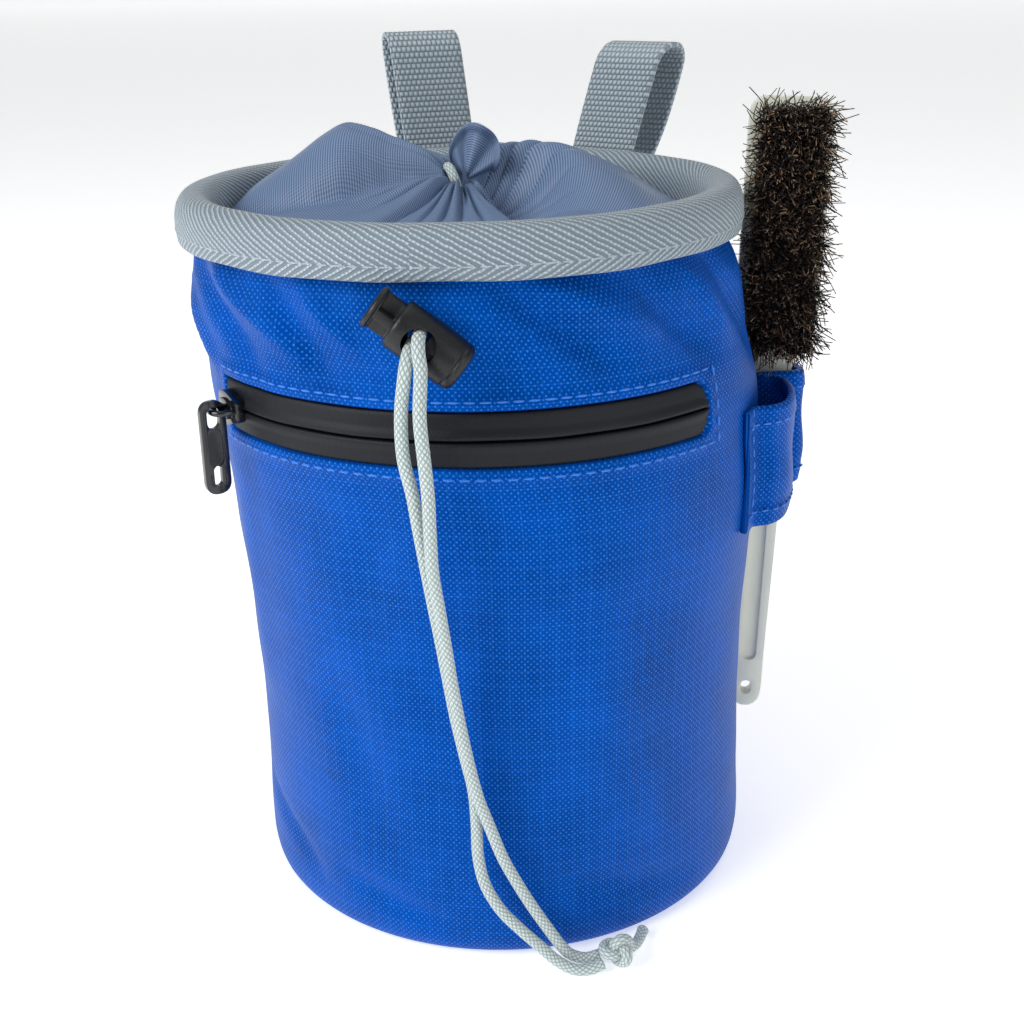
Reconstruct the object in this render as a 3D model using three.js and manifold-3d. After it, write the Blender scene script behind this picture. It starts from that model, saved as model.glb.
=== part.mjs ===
// A climbing chalk bag: a round fabric bucket with a bound rim, a drawstring closure of thin lining cloth,
// a front zip pocket, two belt loops, a cord lock with its doubled cord, and a brush in a side holder.
// Millimetres, +Z up, the zip and the cord lock at the front (-Y), origin at the centre of the base.
import * as THREE from 'three';
import { mergeVertices } from 'three/addons/utils/BufferGeometryUtils.js';
import Module from 'manifold-3d';

const wasm = await Module();
wasm.setup();

// The bag
const RIM_DIAMETER = 132;
const BAG_HEIGHT = 173;
const RIM_LEAN = 7.3;
const RIM_LEAN_DIRECTION = 189;
const WALL = 2.6;
const BASE_THICKNESS = 3;
const GAP = 0.3;

// The webbing that binds the rim
const BINDING_HEIGHT = 11;
const BINDING_OUTER = 4.1;
const BINDING_INNER = 1.6;

// The lining cloth that closes the mouth
const LINING = 1.5;
const LINING_RISE = 20;
const THROAT_RADIUS = 3.6;
const LINING_DROP = 9;

// The front zip
const ZIP_LEFT_ANGLE = -52;
const ZIP_RIGHT_ANGLE = 54.7;
const ZIP_BELOW_RIM = 43.6;
const ZIP_TAPE_WIDTH = 5.7;
const ZIP_THICKNESS = 1;
const ZIP_PARTING = 0.35;
const SLIDER_LENGTH = 8.4;
const SLIDER_WIDTH = 7.6;
const SLIDER_THICKNESS = 2.2;
const BRIDGE_WIRE = 1.5;
const BRIDGE_RISE = 4.6;
const PULL_LENGTH = 21.5;
const PULL_WIDTH = 6;
const PULL_THICKNESS = 1.4;
const PULL_PLAY = 0.55;
const PULL_HOLE = { width: 2.9, length: 5, fromTop: 3.9 };
const PULL_SLOT = { width: 1.9, length: 4.6, fromEnd: 4.2 };

// The belt loops
const WEBBING_WIDTH = 20;
const WEBBING_THICKNESS = 1.3;
const LOOP_SEAM_HEIGHT = 10;
const LOOP_LENGTH = 57;
const LEFT_LOOP = { angle: 192, twist: 14.5, belowRim: 27, opening: 8, tilt: 7 };
const RIGHT_LOOP = { angle: 166, twist: -19, belowRim: 30, opening: 12, tilt: -19 };

// The brush and its holder
const BRUSH_LENGTH = 161;
const BRUSH_HEAD_WIDTH = 20;
const BRUSH_NECK_WIDTH = 9.6;
const BRUSH_END_WIDTH = 7.8;
const BRUSH_THICKNESS = 4.4;
const BRUSH_ANGLE = 104.5;
const BRUSH_TURN = -13;
const BRUSH_STAND_OFF = 6.8;
const BRUSH_LEAN = 2;
const BRISTLE_LENGTH = 14;
const BRISTLE_BLOCK_WIDTH = 15;
const BRISTLE_MARGIN = 2.5;
const BRISTLE_COLUMNS = 3;
const BRISTLE_ROWS = 11;
const HANGING_HOLE = { width: 2.8, length: 4.2, fromEnd: 5.4 };
const HANDLE_CHANNEL = { wide: 0.42, long: 0.42, from: 0.085, deep: 1 };
const HOLDER_BELOW_RIM = 49.2;
const HOLDER_HEIGHT = 30;
const HOLDER_CLOTH = 1.2;
const HOLDER_PLAY = 1.45;
const FRONT_CHANNEL_DEPTH = 7.8;
const FRONT_CHANNEL_WIDTH = 27;
const HOLDER_TAB_WIDTH = 6;

// The cord lock
const LOCK_ANGLE = 1.5;
const LOCK_BELOW_BINDING = 11.4;
const LOCK_TILT = 37;
const BARREL_DIAMETER = 10.6;
const BARREL_LENGTH = 16;
const BARREL_WALL = 0.9;
const CORD_HOLE_DIAMETER = 7;
const CORD_HOLE_PLACE = -1.8;
const PLUNGER_CLEARANCE = 0.3;
const PLUNGER_NECK = 4.4;
const PLUNGER_TRAVEL = 3;
const FLANGE_DIAMETER = 9.4;
const FLANGE_THICKNESS = 1.3;
const BARREL_END_WALL = 1.1;

// The doubled cord
const CORD_DIAMETER = 2.7;
const CORD_PLACE = -2.9;
const CORD_STEP = 5.4;
const CORD_SIDES = 8;

const RADIANS = Math.PI / 180;
const RIM_RADIUS = RIM_DIAMETER / 2;
const RIM_TOP = BAG_HEIGHT;
const BINDING_LOW = RIM_TOP - BINDING_HEIGHT;
const ZIP_CENTRE = RIM_TOP - ZIP_BELOW_RIM;
const LOCK_HEIGHT = BINDING_LOW - LOCK_BELOW_BINDING;
const HOLDER_TOP = RIM_TOP - HOLDER_BELOW_RIM;
const HOLDER_BOTTOM = HOLDER_TOP - HOLDER_HEIGHT;
const ROUND_STEPS = 45;

// How the bag's outside runs from the floor up: height as a share of the bag's height, radius as a share
// of the rim's radius, and lean as a share of the rim's lean.
const BODY_SECTIONS = [
  { height: 0.0, radius: 0.890, lean: 0.0 },
  { height: 0.006, radius: 0.922, lean: 0.0 },
  { height: 0.02, radius: 0.943, lean: 0.0 },
  { height: 0.045, radius: 0.950, lean: 0.0 },
  { height: 0.13, radius: 0.944, lean: 0.01 },
  { height: 0.27, radius: 0.937, lean: 0.03 },
  { height: 0.4, radius: 0.947, lean: 0.06 },
  { height: 0.49, radius: 0.961, lean: 0.06 },
  { height: 0.56, radius: 0.978, lean: 0.05 },
  { height: 0.62, radius: 0.985, lean: 0.08 },
  { height: 0.68, radius: 0.992, lean: 0.2 },
  { height: 0.735, radius: 0.998, lean: 0.32 },
  { height: 0.78, radius: 0.992, lean: 0.4 },
  { height: 0.82, radius: 0.98, lean: 0.45 },
  { height: 0.855, radius: 0.982, lean: 0.62 },
  { height: 0.885, radius: 0.98, lean: 0.75 },
  { height: 0.91, radius: 0.962, lean: 0.88 },
  { height: 0.935, radius: 0.934, lean: 1.0 },
  { height: 0.994, radius: 0.934, lean: 1.0 },
];

// Dents and swellings of the wall: angle from the front toward +X and half spread in degrees, height and
// half tallness as shares of the bag's height, depth as a share of the rim's radius.
const DENTS = [
  { angle: -38, height: 0.87, spread: 13, tall: 0.045, depth: 0.026 },
  { angle: -20, height: 0.82, spread: 9, tall: 0.04, depth: 0.02 },
  { angle: -58, height: 0.83, spread: 12, tall: 0.035, depth: -0.012 },
  { angle: 24, height: 0.87, spread: 12, tall: 0.04, depth: 0.018 },
  { angle: 52, height: 0.86, spread: 11, tall: 0.05, depth: 0.02 },
  { angle: 103, height: 0.83, spread: 15, tall: 0.072, depth: 0.054 },
  { angle: -20, height: 0.45, spread: 16, tall: 0.13, depth: 0.012 },
  { angle: 30, height: 0.3, spread: 20, tall: 0.16, depth: -0.008 },
  { angle: -48, height: 0.07, spread: 10, tall: 0.035, depth: 0.014 },
  { angle: 150, height: 0.5, spread: 24, tall: 0.2, depth: 0.014 },
  { angle: -125, height: 0.42, spread: 24, tall: 0.22, depth: 0.016 },
  { angle: -160, height: 0.85, spread: 14, tall: 0.05, depth: 0.016 },
];

// The zip's right end is rounded: how far short of the end each column stands in degrees, and how tall.
const ZIP_COLUMNS = 16;
const ZIP_ROUND_START = 2.6;
const ZIP_ROUND_END = [
  { short: 1.4, tall: 0.98 },
  { short: 0.6, tall: 0.86 },
  { short: 0, tall: 0.62 },
];

// The folds of the gathered lining around its throat: angle and half spread in degrees, reach as the share
// of the way in from the rim at which the fold is highest, rise as a share of the lining's rise.
const FOLDS = [
  { angle: -99, spread: 27, reach: 0.46, rise: 1.02 },
  { angle: -132, spread: 14, reach: 0.5, rise: 0.55 },
  { angle: -63, spread: 12, reach: 0.62, rise: 0.34 },
  { angle: -38, spread: 11, reach: 0.7, rise: 0.38 },
  { angle: -8, spread: 8, reach: 0.76, rise: 0.3 },
  { angle: 21, spread: 9, reach: 0.72, rise: 0.32 },
  { angle: 44, spread: 9, reach: 0.55, rise: 0.14 },
  { angle: 108, spread: 26, reach: 0.48, rise: 0.72 },
  { angle: 146, spread: 17, reach: 0.66, rise: 0.74 },
  { angle: 196, spread: 16, reach: 0.62, rise: 0.46 },
];
// The hem stands up as one small frill behind the throat, and the cloth dips into a hollow at its right.
const FRILL = { angle: 172, spread: 30, reach: 0.89, rise: 0.84, narrow: 0.085 };
const HOLLOW = { angle: 74, spread: 24, reach: 0.84, rise: -0.55, narrow: 0.13 };
const LINING_ROWS = [0, 0.11, 0.24, 0.37, 0.5, 0.61, 0.71, 0.8, 0.87, 0.94, 1];
const LINING_STEPS = 54;

// The handle's outline: place as a share of the brush's length from its lower end, and half width as a
// share of the width that it is named for. Its shoulder rests on the holder's top edge.
const SHOULDER_PLACE = 0.595;
const HEAD_PLACE = 0.621;
const HANDLE_OUTLINE = [
  { place: 0.0, of: BRUSH_END_WIDTH, half: 0.2 },
  { place: 0.008, of: BRUSH_END_WIDTH, half: 0.4 },
  { place: 0.025, of: BRUSH_END_WIDTH, half: 0.5 },
  { place: 0.3, of: BRUSH_NECK_WIDTH, half: 0.47 },
  { place: SHOULDER_PLACE, of: BRUSH_NECK_WIDTH, half: 0.5 },
  { place: 0.625, of: BRUSH_HEAD_WIDTH, half: 0.35 },
  { place: 0.65, of: BRUSH_HEAD_WIDTH, half: 0.47 },
  { place: 0.675, of: BRUSH_HEAD_WIDTH, half: 0.5 },
  { place: 0.975, of: BRUSH_HEAD_WIDTH, half: 0.5 },
  { place: 0.993, of: BRUSH_HEAD_WIDTH, half: 0.45 },
  { place: 1.0, of: BRUSH_HEAD_WIDTH, half: 0.36 },
];

// Where each strand of the cord lies, chosen by hand, from the lock's mouth to the knot.
const LEFT_STRAND_POINTS = [
  [-7.7, -79.4, 139], [-7.8, -78.6, 130], [-6.6, -77.4, 122], [-5.9, -76, 114], [-5.1, -74.2, 105],
  [-4.3, -72.2, 96], [-3.4, -70.4, 87], [-2.4, -68.8, 77], [-1.3, -67.4, 67], [0.3, -66.6, 57],
  [1.9, -66.2, 48], [2.4, -66.4, 40], [2.6, -66.7, 31], [4.1, -67.2, 24], [7.7, -67.7, 17.6],
  [12.3, -67.2, 12], [16.5, -66.2, 7], [20.3, -66.2, 3.4], [24.4, -66.9, 1.8], [28, -66.4, 1.8],
  [30.9, -65, 2.5],
];
const RIGHT_STRAND_POINTS = [
  [-3.8, -80.8, 139], [-3.4, -80.2, 130], [-3.1, -79.2, 122], [-3.2, -78.4, 114], [-3.2, -77.2, 105],
  [-2.5, -75.4, 96], [-1.8, -73.6, 87], [-1, -71.9, 77], [0.1, -70.5, 67], [1.6, -69.7, 57],
  [3.4, -69.2, 48], [5.6, -68, 40], [8.3, -66.8, 31], [11.4, -66.2, 24], [14.6, -65.6, 17.6],
  [17.9, -64.9, 11.6], [20.6, -64.2, 6.8], [23, -63.4, 3.4], [26.4, -62.8, 2],
  [29.9, -62, 2.7],
];
const KNOT_CENTRE = [34.2, -62.6, 4.2];
const KNOT_SIZE = 2.05;
const KNOT_TAIL_POINTS = [[36.4, -60, 3.2], [38.4, -55.6, 2], [39.6, -50.4, 1.6]];

const MATERIALS = {
  shell: new THREE.MeshStandardMaterial({ color: '#0a5fe0', roughness: 0.62, metalness: 0 }),
  binding: new THREE.MeshStandardMaterial({ color: '#a9b6c4', roughness: 0.8, metalness: 0 }),
  webbing: new THREE.MeshStandardMaterial({ color: '#b0bdc8', roughness: 0.8, metalness: 0 }),
  lining: new THREE.MeshStandardMaterial({ color: '#8ea2cf', roughness: 0.42, metalness: 0 }),
  coated: new THREE.MeshStandardMaterial({ color: '#1a2740', roughness: 0.55, metalness: 0 }),
  lacquer: new THREE.MeshStandardMaterial({ color: '#0c0d12', roughness: 0.25, metalness: 0.4 }),
  moulded: new THREE.MeshStandardMaterial({ color: '#15171c', roughness: 0.5, metalness: 0 }),
  cord: new THREE.MeshStandardMaterial({ color: '#d5e2e0', roughness: 0.75, metalness: 0 }),
  handle: new THREE.MeshStandardMaterial({ color: '#e8ecdc', roughness: 0.4, metalness: 0 }),
  bristle: new THREE.MeshStandardMaterial({ color: '#15131a', roughness: 0.7, metalness: 0 }),
};

const bag = new THREE.Group();

function addPiece(name, geometry, material, parent = bag) {
  const mesh = new THREE.Mesh(geometry, material.clone());
  mesh.name = name;
  parent.add(mesh);
  return mesh;
}

// A closed geometry from points and faces, turned so that its faces point out.
function closedGeometry(points, faces) {
  let volume = 0;
  for (const [a, b, c] of faces) {
    volume += points[a].dot(new THREE.Vector3().crossVectors(points[b], points[c]));
  }
  const turned = volume < 0 ? faces.map(([a, b, c]) => [a, c, b]) : faces;
  const geometry = new THREE.BufferGeometry();
  geometry.setAttribute('position', new THREE.Float32BufferAttribute(points.flatMap((p) => p.toArray()), 3));
  geometry.setIndex(turned.flat());
  return geometry;
}

// Joins rings of points, each a closed loop with as many points, into one closed skin.
// The two ends close on a point in their middle, or the last ring joins the first.
function skinOverRings(rings, ends = 'capped') {
  const count = rings[0].length;
  const points = rings.flat();
  const faces = [];
  const last = ends === 'joined' ? rings.length : rings.length - 1;
  for (let row = 0; row < last; row += 1) {
    const next = (row + 1) % rings.length;
    for (let i = 0; i < count; i += 1) {
      const j = (i + 1) % count;
      faces.push([row * count + i, row * count + j, next * count + j]);
      faces.push([row * count + i, next * count + j, next * count + i]);
    }
  }
  if (ends === 'capped') {
    for (const row of [0, rings.length - 1]) {
      const middle = rings[row].reduce((sum, p) => sum.add(p), new THREE.Vector3()).divideScalar(count);
      points.push(middle);
      for (let i = 0; i < count; i += 1) {
        const j = (i + 1) % count;
        const a = row * count + i;
        const b = row * count + j;
        faces.push(row === 0 ? [points.length - 1, b, a] : [points.length - 1, a, b]);
      }
    }
  }
  return closedGeometry(points, faces);
}

function toSolid(geometry) {
  const bare = geometry.clone();
  bare.deleteAttribute('normal');
  bare.deleteAttribute('uv');
  const merged = mergeVertices(bare, 1e-4);
  return new wasm.Manifold(new wasm.Mesh({
    numProp: 3,
    vertProperties: new Float32Array(merged.attributes.position.array),
    triVerts: new Uint32Array(merged.index.array),
  }));
}

function toGeometry(solid) {
  const mesh = solid.getMesh();
  const geometry = new THREE.BufferGeometry();
  geometry.setAttribute('position', new THREE.BufferAttribute(new Float32Array(mesh.vertProperties), 3));
  geometry.setIndex(new THREE.BufferAttribute(new Uint32Array(mesh.triVerts), 1));
  return geometry;
}

function cut(geometry, ...tools) {
  return toGeometry(tools.reduce((solid, tool) => solid.subtract(toSolid(tool)), toSolid(geometry)));
}

function fuse(...geometries) {
  return toGeometry(geometries.map(toSolid).reduce((whole, solid) => whole.add(solid)));
}

function placed(geometry, matrix) {
  return geometry.clone().applyMatrix4(matrix);
}

// A smooth hump: 1 in the middle, 0 beyond the given half width.
function hump(distance, half) {
  const share = Math.min(Math.abs(distance) / half, 1);
  return (1 + Math.cos(Math.PI * share)) / 2;
}

// The smaller way round between two angles in degrees.
function turn(from, to) {
  return ((to - from + 540) % 360) - 180;
}

const LEAN_X = RIM_LEAN * Math.cos(RIM_LEAN_DIRECTION * RADIANS);
const LEAN_Y = RIM_LEAN * Math.sin(RIM_LEAN_DIRECTION * RADIANS);

function sectionAt(z) {
  const share = z / BAG_HEIGHT;
  const rows = BODY_SECTIONS;
  let upper = rows.findIndex((row) => row.height >= share);
  upper = upper < 0 ? rows.length - 1 : Math.max(upper, 1);
  const a = rows[upper - 1];
  const b = rows[upper];
  const t = THREE.MathUtils.clamp((share - a.height) / (b.height - a.height), 0, 1);
  const lean = THREE.MathUtils.lerp(a.lean, b.lean, t);
  return {
    radius: RIM_RADIUS * THREE.MathUtils.lerp(a.radius, b.radius, t),
    x: LEAN_X * lean,
    y: LEAN_Y * lean,
  };
}

function dentDepth(angle, z) {
  const share = z / BAG_HEIGHT;
  let depth = 0;
  for (const dent of DENTS) {
    const across = hump(turn(dent.angle, angle), 2 * dent.spread);
    depth += RIM_RADIUS * dent.depth * across * hump(share - dent.height, 2 * dent.tall);
  }
  const rimShare = BINDING_LOW / BAG_HEIGHT;
  return depth * THREE.MathUtils.smoothstep(rimShare - share, 0, 0.02);
}

// A point of the bag's wall: angle in degrees from the front toward +X, offset outward from its outside.
function wallPoint(angle, z, offset = 0) {
  const section = sectionAt(z);
  const radius = section.radius - dentDepth(angle, z) + offset;
  const x = section.x + radius * Math.sin(angle * RADIANS);
  const y = section.y - radius * Math.cos(angle * RADIANS);
  return new THREE.Vector3(x, y, z);
}

// A frame on the wall: x runs round the bag toward greater angles, y inward and z up.
function wallFrame(angle, z, offset = 0) {
  return new THREE.Matrix4()
    .makeRotationZ(angle * RADIANS)
    .setPosition(wallPoint(angle, z, offset));
}

function roundAngles(count) {
  return Array.from({ length: count }, (unused, i) => (i * 360) / count);
}

// The bucket: outside from the base up, over the top edge and down the inside to the inner floor.
function makeBody() {
  const angles = roundAngles(ROUND_STEPS);
  const levels = BODY_SECTIONS.map((row) => row.height * BAG_HEIGHT);
  const outside = levels.map((z) => angles.map((angle) => wallPoint(angle, z)));
  const inside = levels
    .filter((z, row) => z > 2 * BASE_THICKNESS && (row % 2 === 0 || z > BINDING_LOW))
    .reverse()
    .map((z) => angles.map((angle) => wallPoint(angle, z, -WALL)));
  inside.push(angles.map((angle) => wallPoint(angle, BASE_THICKNESS, -2 * WALL)));
  return skinOverRings([...outside, ...inside]);
}

// A band on the wall between two angles: how tall it is at each column comes from a table of shares.
function wallBand(columns, low, high, inner, outer) {
  const rings = columns.map((column) => {
    const middle = ZIP_CENTRE;
    const bottom = middle + (low - middle) * column.tall;
    const top = middle + (high - middle) * column.tall;
    return [
      wallPoint(column.angle, bottom, inner),
      wallPoint(column.angle, bottom, outer),
      wallPoint(column.angle, top, outer),
      wallPoint(column.angle, top, inner),
    ];
  });
  return skinOverRings(rings);
}

function zipColumns(margin) {
  const wide = (margin / RIM_RADIUS) / RADIANS;
  const left = ZIP_LEFT_ANGLE - wide;
  const right = ZIP_RIGHT_ANGLE + wide;
  const columns = [];
  for (let i = 0; i < ZIP_COLUMNS; i += 1) {
    const angle = THREE.MathUtils.lerp(left, right - ZIP_ROUND_START, i / (ZIP_COLUMNS - 1));
    columns.push({ angle, tall: 1 });
  }
  for (const end of ZIP_ROUND_END) {
    columns.push({ angle: right - end.short, tall: end.tall });
  }
  return columns;
}

function makeZipRecess() {
  const half = ZIP_TAPE_WIDTH + ZIP_PARTING / 2 + GAP;
  const floor = -(ZIP_THICKNESS + GAP);
  return wallBand(zipColumns(GAP), ZIP_CENTRE - half, ZIP_CENTRE + half, floor, 2 * ZIP_THICKNESS);
}

function makeZipTape(side) {
  const near = ZIP_CENTRE + (side * ZIP_PARTING) / 2;
  const far = near + side * ZIP_TAPE_WIDTH;
  return wallBand(zipColumns(0), Math.min(near, far), Math.max(near, far), -ZIP_THICKNESS, 0);
}

// A flat plate with round ends, standing on x = 0, from its lower end up.
function roundEndedShape(width, length) {
  const shape = new THREE.Shape();
  const r = width / 2;
  shape.moveTo(-r, r);
  shape.absarc(0, r, r, Math.PI, 2 * Math.PI, false);
  shape.lineTo(r, length - r);
  shape.absarc(0, length - r, r, 0, Math.PI, false);
  shape.lineTo(-r, r);
  return shape;
}

function roundEndedHole(width, length, middle) {
  const hole = new THREE.Path();
  const r = width / 2;
  const low = middle - length / 2 + r;
  const high = middle + length / 2 - r;
  hole.moveTo(r, low);
  hole.lineTo(r, high);
  hole.absarc(0, high, r, 0, Math.PI, false);
  hole.lineTo(-r, low);
  hole.absarc(0, low, r, Math.PI, 2 * Math.PI, false);
  return hole;
}

const SLIDER_ANGLE = ZIP_LEFT_ANGLE + (SLIDER_LENGTH / 2 + GAP) / RIM_RADIUS / RADIANS;
const PIVOT_OFFSET = GAP + SLIDER_THICKNESS + BRIDGE_RISE - BRIDGE_WIRE / 2;

// The slider: a flat body with cut corners and the arched bridge that carries the pull.
function makeSlider() {
  const shape = new THREE.Shape();
  const half = SLIDER_LENGTH / 2;
  const tall = SLIDER_WIDTH / 2;
  const waist = 0.62 * tall;
  const outline = [
    [-half, -waist], [-half + 1.6, -tall], [0, -tall], [half, -waist],
    [half, waist], [0, tall], [-half + 1.6, tall], [-half, waist],
  ];
  outline.forEach(([x, y], i) => (i ? shape.lineTo(x, y) : shape.moveTo(x, y)));
  const body = new THREE.ExtrudeGeometry(shape, { depth: SLIDER_THICKNESS, bevelEnabled: false });
  const bridge = new THREE.Shape();
  const reach = half - 1;
  bridge.moveTo(-reach, -0.2);
  bridge.lineTo(-reach, 0.5 * BRIDGE_RISE);
  bridge.lineTo(-0.6 * reach, BRIDGE_RISE);
  bridge.lineTo(0.6 * reach, BRIDGE_RISE);
  bridge.lineTo(reach, 0.5 * BRIDGE_RISE);
  bridge.lineTo(reach, -0.2);
  bridge.lineTo(reach - BRIDGE_WIRE, -0.2);
  bridge.lineTo(reach - BRIDGE_WIRE, 0.4 * BRIDGE_RISE);
  bridge.lineTo(0.5 * reach - 0.2, BRIDGE_RISE - BRIDGE_WIRE);
  bridge.lineTo(-0.5 * reach + 0.2, BRIDGE_RISE - BRIDGE_WIRE);
  bridge.lineTo(-reach + BRIDGE_WIRE, 0.4 * BRIDGE_RISE);
  bridge.lineTo(-reach + BRIDGE_WIRE, -0.2);
  const arch = new THREE.ExtrudeGeometry(bridge, { depth: BRIDGE_WIRE, bevelEnabled: false });
  arch.translate(0, 0, -BRIDGE_WIRE / 2);
  arch.rotateX(Math.PI / 2);
  arch.translate(0, 0, SLIDER_THICKNESS);
  const slider = fuse(body, arch);
  slider.rotateX(Math.PI / 2);
  return placed(slider, wallFrame(SLIDER_ANGLE, ZIP_CENTRE, GAP));
}

// The pull: a flat tab that hangs on the bridge in the plane across the zip.
function makePull() {
  const shape = roundEndedShape(PULL_WIDTH, PULL_LENGTH);
  const middle = PULL_LENGTH - PULL_HOLE.fromTop;
  const pivot = middle + (PULL_HOLE.length - BRIDGE_WIRE) / 2 - PULL_PLAY;
  shape.holes.push(roundEndedHole(PULL_HOLE.width, PULL_HOLE.length, middle));
  shape.holes.push(roundEndedHole(PULL_SLOT.width, PULL_SLOT.length, PULL_SLOT.fromEnd));
  const options = { depth: PULL_THICKNESS, bevelEnabled: false, curveSegments: 5 };
  const pull = new THREE.ExtrudeGeometry(shape, options);
  pull.translate(0, -pivot, -PULL_THICKNESS / 2);
  pull.rotateX(Math.PI / 2);
  pull.rotateZ(Math.PI / 2);
  return pull;
}

// The binding: webbing folded over the wall's top edge, thick outside where it covers the rim's cord.
function makeBinding() {
  const top = RIM_TOP;
  const low = BINDING_LOW;
  const wallTop = BODY_SECTIONS.at(-1).height * BAG_HEIGHT;
  const wallOuter = BODY_SECTIONS.at(-1).radius * RIM_RADIUS;
  const innerFace = wallOuter - WALL - GAP - BINDING_INNER;
  const outline = [
    [wallOuter + GAP, low + 1.2], [RIM_RADIUS - 0.5, low], [RIM_RADIUS, low + 0.36 * BINDING_HEIGHT],
    [RIM_RADIUS, top - 0.4 * BINDING_HEIGHT], [RIM_RADIUS - 1.1, top - 1.5],
    [RIM_RADIUS - BINDING_OUTER + 0.6, top], [innerFace + 2, top], [innerFace, top - 1.7],
    [innerFace, low + 0.5],
    [innerFace + BINDING_INNER, low + 0.5], [innerFace + BINDING_INNER, wallTop + GAP],
    [wallOuter + GAP, wallTop + GAP],
  ];
  const rings = roundAngles(ROUND_STEPS).map((angle) => outline.map(([radius, z]) => {
    const x = LEAN_X + radius * Math.sin(angle * RADIANS);
    const y = LEAN_Y - radius * Math.cos(angle * RADIANS);
    return new THREE.Vector3(x, y, z);
  }));
  return skinOverRings(rings, 'joined');
}

// How high the lining stands at an angle, a share of the way in from the rim to the throat.
function liningHeight(angle, inward) {
  const base = RIM_TOP - LINING_DROP * (1 - THREE.MathUtils.smoothstep(inward, 0, 0.75));
  let rise = 0;
  for (const fold of FOLDS) {
    const across = hump(turn(fold.angle, angle), 1.7 * fold.spread);
    const along = inward < fold.reach
      ? Math.sin((Math.PI / 2) * (inward / fold.reach))
      : Math.cos((Math.PI / 2) * ((inward - fold.reach) / (1 - fold.reach)));
    rise = Math.max(rise, fold.rise * across * along);
  }
  for (const mark of [FRILL, HOLLOW]) {
    const across = hump(turn(mark.angle, angle), 1.7 * mark.spread);
    rise += mark.rise * across * hump(inward - mark.reach, 1.6 * mark.narrow);
  }
  return base + LINING_RISE * rise;
}

// The closure: thin cloth from the rim to the throat, as one height over the mouth, with a lower face.
function makeLining() {
  const wallOuter = BODY_SECTIONS.at(-1).radius * RIM_RADIUS;
  const edge = wallOuter - WALL - BINDING_INNER - 2 * GAP;
  const surface = (drop) => LINING_ROWS.map((inward) => roundAngles(LINING_STEPS).map((angle) => {
    const radius = THREE.MathUtils.lerp(edge, THROAT_RADIUS, inward);
    const x = LEAN_X + radius * Math.sin(angle * RADIANS);
    const y = LEAN_Y - radius * Math.cos(angle * RADIANS);
    return new THREE.Vector3(x, y, liningHeight(angle, inward) - drop);
  }));
  return skinOverRings([...surface(0), ...surface(LINING).reverse()], 'joined');
}

// A belt loop: both plies of one webbing strip, sewn together at the foot and open above it.
// Its side outline stands on the wall: x outward, y up. A twist turns it round its own foot.
function makeLoop({ angle, twist, belowRim, opening, tilt }) {
  const foot = RIM_TOP - belowRim;
  const frame = wallFrame(angle, foot).multiply(new THREE.Matrix4().makeRotationZ(twist * RADIANS));
  const outward = new THREE.Vector3(0, -1, 0).transformDirection(frame);
  const toRim = new THREE.Vector3(LEAN_X, LEAN_Y, foot).sub(new THREE.Vector3().setFromMatrixPosition(frame));
  const clear = outward.dot(toRim) + RIM_RADIUS + 2 * GAP;
  const w = WEBBING_THICKNESS;
  const near = 3 * GAP + RIM_RADIUS * (1 - Math.cos(twist * RADIANS));
  const seam = LOOP_SEAM_HEIGHT;
  const top = LOOP_LENGTH;
  const past = belowRim;
  const shape = new THREE.Shape();
  const outer = [
    [near, 0], [near + 2 * w, 0], [near + 2 * w + 0.2, seam], [clear + w + opening, past - 2],
    [clear + w + 1.06 * opening, top - 5], [clear + 0.8 * opening + w, top - 1.2],
    [clear + w + 0.4 * opening, top], [clear + 0.2 * opening, top - 0.9], [clear, top - 4],
    [clear, past - BINDING_HEIGHT - 1], [near, seam - 1],
  ];
  const inner = [
    [near + w, seam + 0.8], [clear + w + 0.3, past - BINDING_HEIGHT - 0.4], [clear + w, past - 2],
    [clear + w, top - 4.6],
    [clear + w + 0.16 * opening, top - w - 1], [clear + w + 0.42 * opening, top - w - 0.2],
    [clear + 0.72 * opening + w, top - w - 1.4], [clear + 1.06 * opening, top - 5.4],
    [clear + opening, past - 2.2], [near + w + 0.4, seam + 0.6],
  ];
  outer.forEach(([x, y], i) => (i ? shape.lineTo(x, y) : shape.moveTo(x, y)));
  const hole = new THREE.Path();
  inner.forEach(([x, y], i) => (i ? hole.lineTo(x, y) : hole.moveTo(x, y)));
  shape.holes.push(hole);
  const loop = new THREE.ExtrudeGeometry(shape, { depth: WEBBING_WIDTH, bevelEnabled: false });
  loop.translate(0, 0, -WEBBING_WIDTH / 2);
  const axes = new THREE.Matrix4().makeBasis(
    new THREE.Vector3(0, -1, 0),
    new THREE.Vector3(Math.tan(tilt * RADIANS), 0, 1),
    new THREE.Vector3(-1, 0, 0),
  );
  return placed(placed(loop, axes), frame);
}

// The brush's own frame: x outward from the bag, y away from the bristles, z along the brush.
function brushFrame() {
  const top = wallPoint(BRUSH_ANGLE, HOLDER_TOP, BRUSH_STAND_OFF);
  const faced = (BRUSH_ANGLE + BRUSH_TURN) * RADIANS;
  const out = new THREE.Vector3(Math.sin(faced), -Math.cos(faced), 0);
  const along = new THREE.Vector3(0, 0, 1).addScaledVector(out, Math.tan(BRUSH_LEAN * RADIANS)).normalize();
  const back = new THREE.Vector3().crossVectors(along, out).normalize();
  const across = new THREE.Vector3().crossVectors(back, along);
  const foot = top.addScaledVector(along, GAP - SHOULDER_PLACE * BRUSH_LENGTH);
  return new THREE.Matrix4().makeBasis(across, back, along).setPosition(foot);
}

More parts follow.
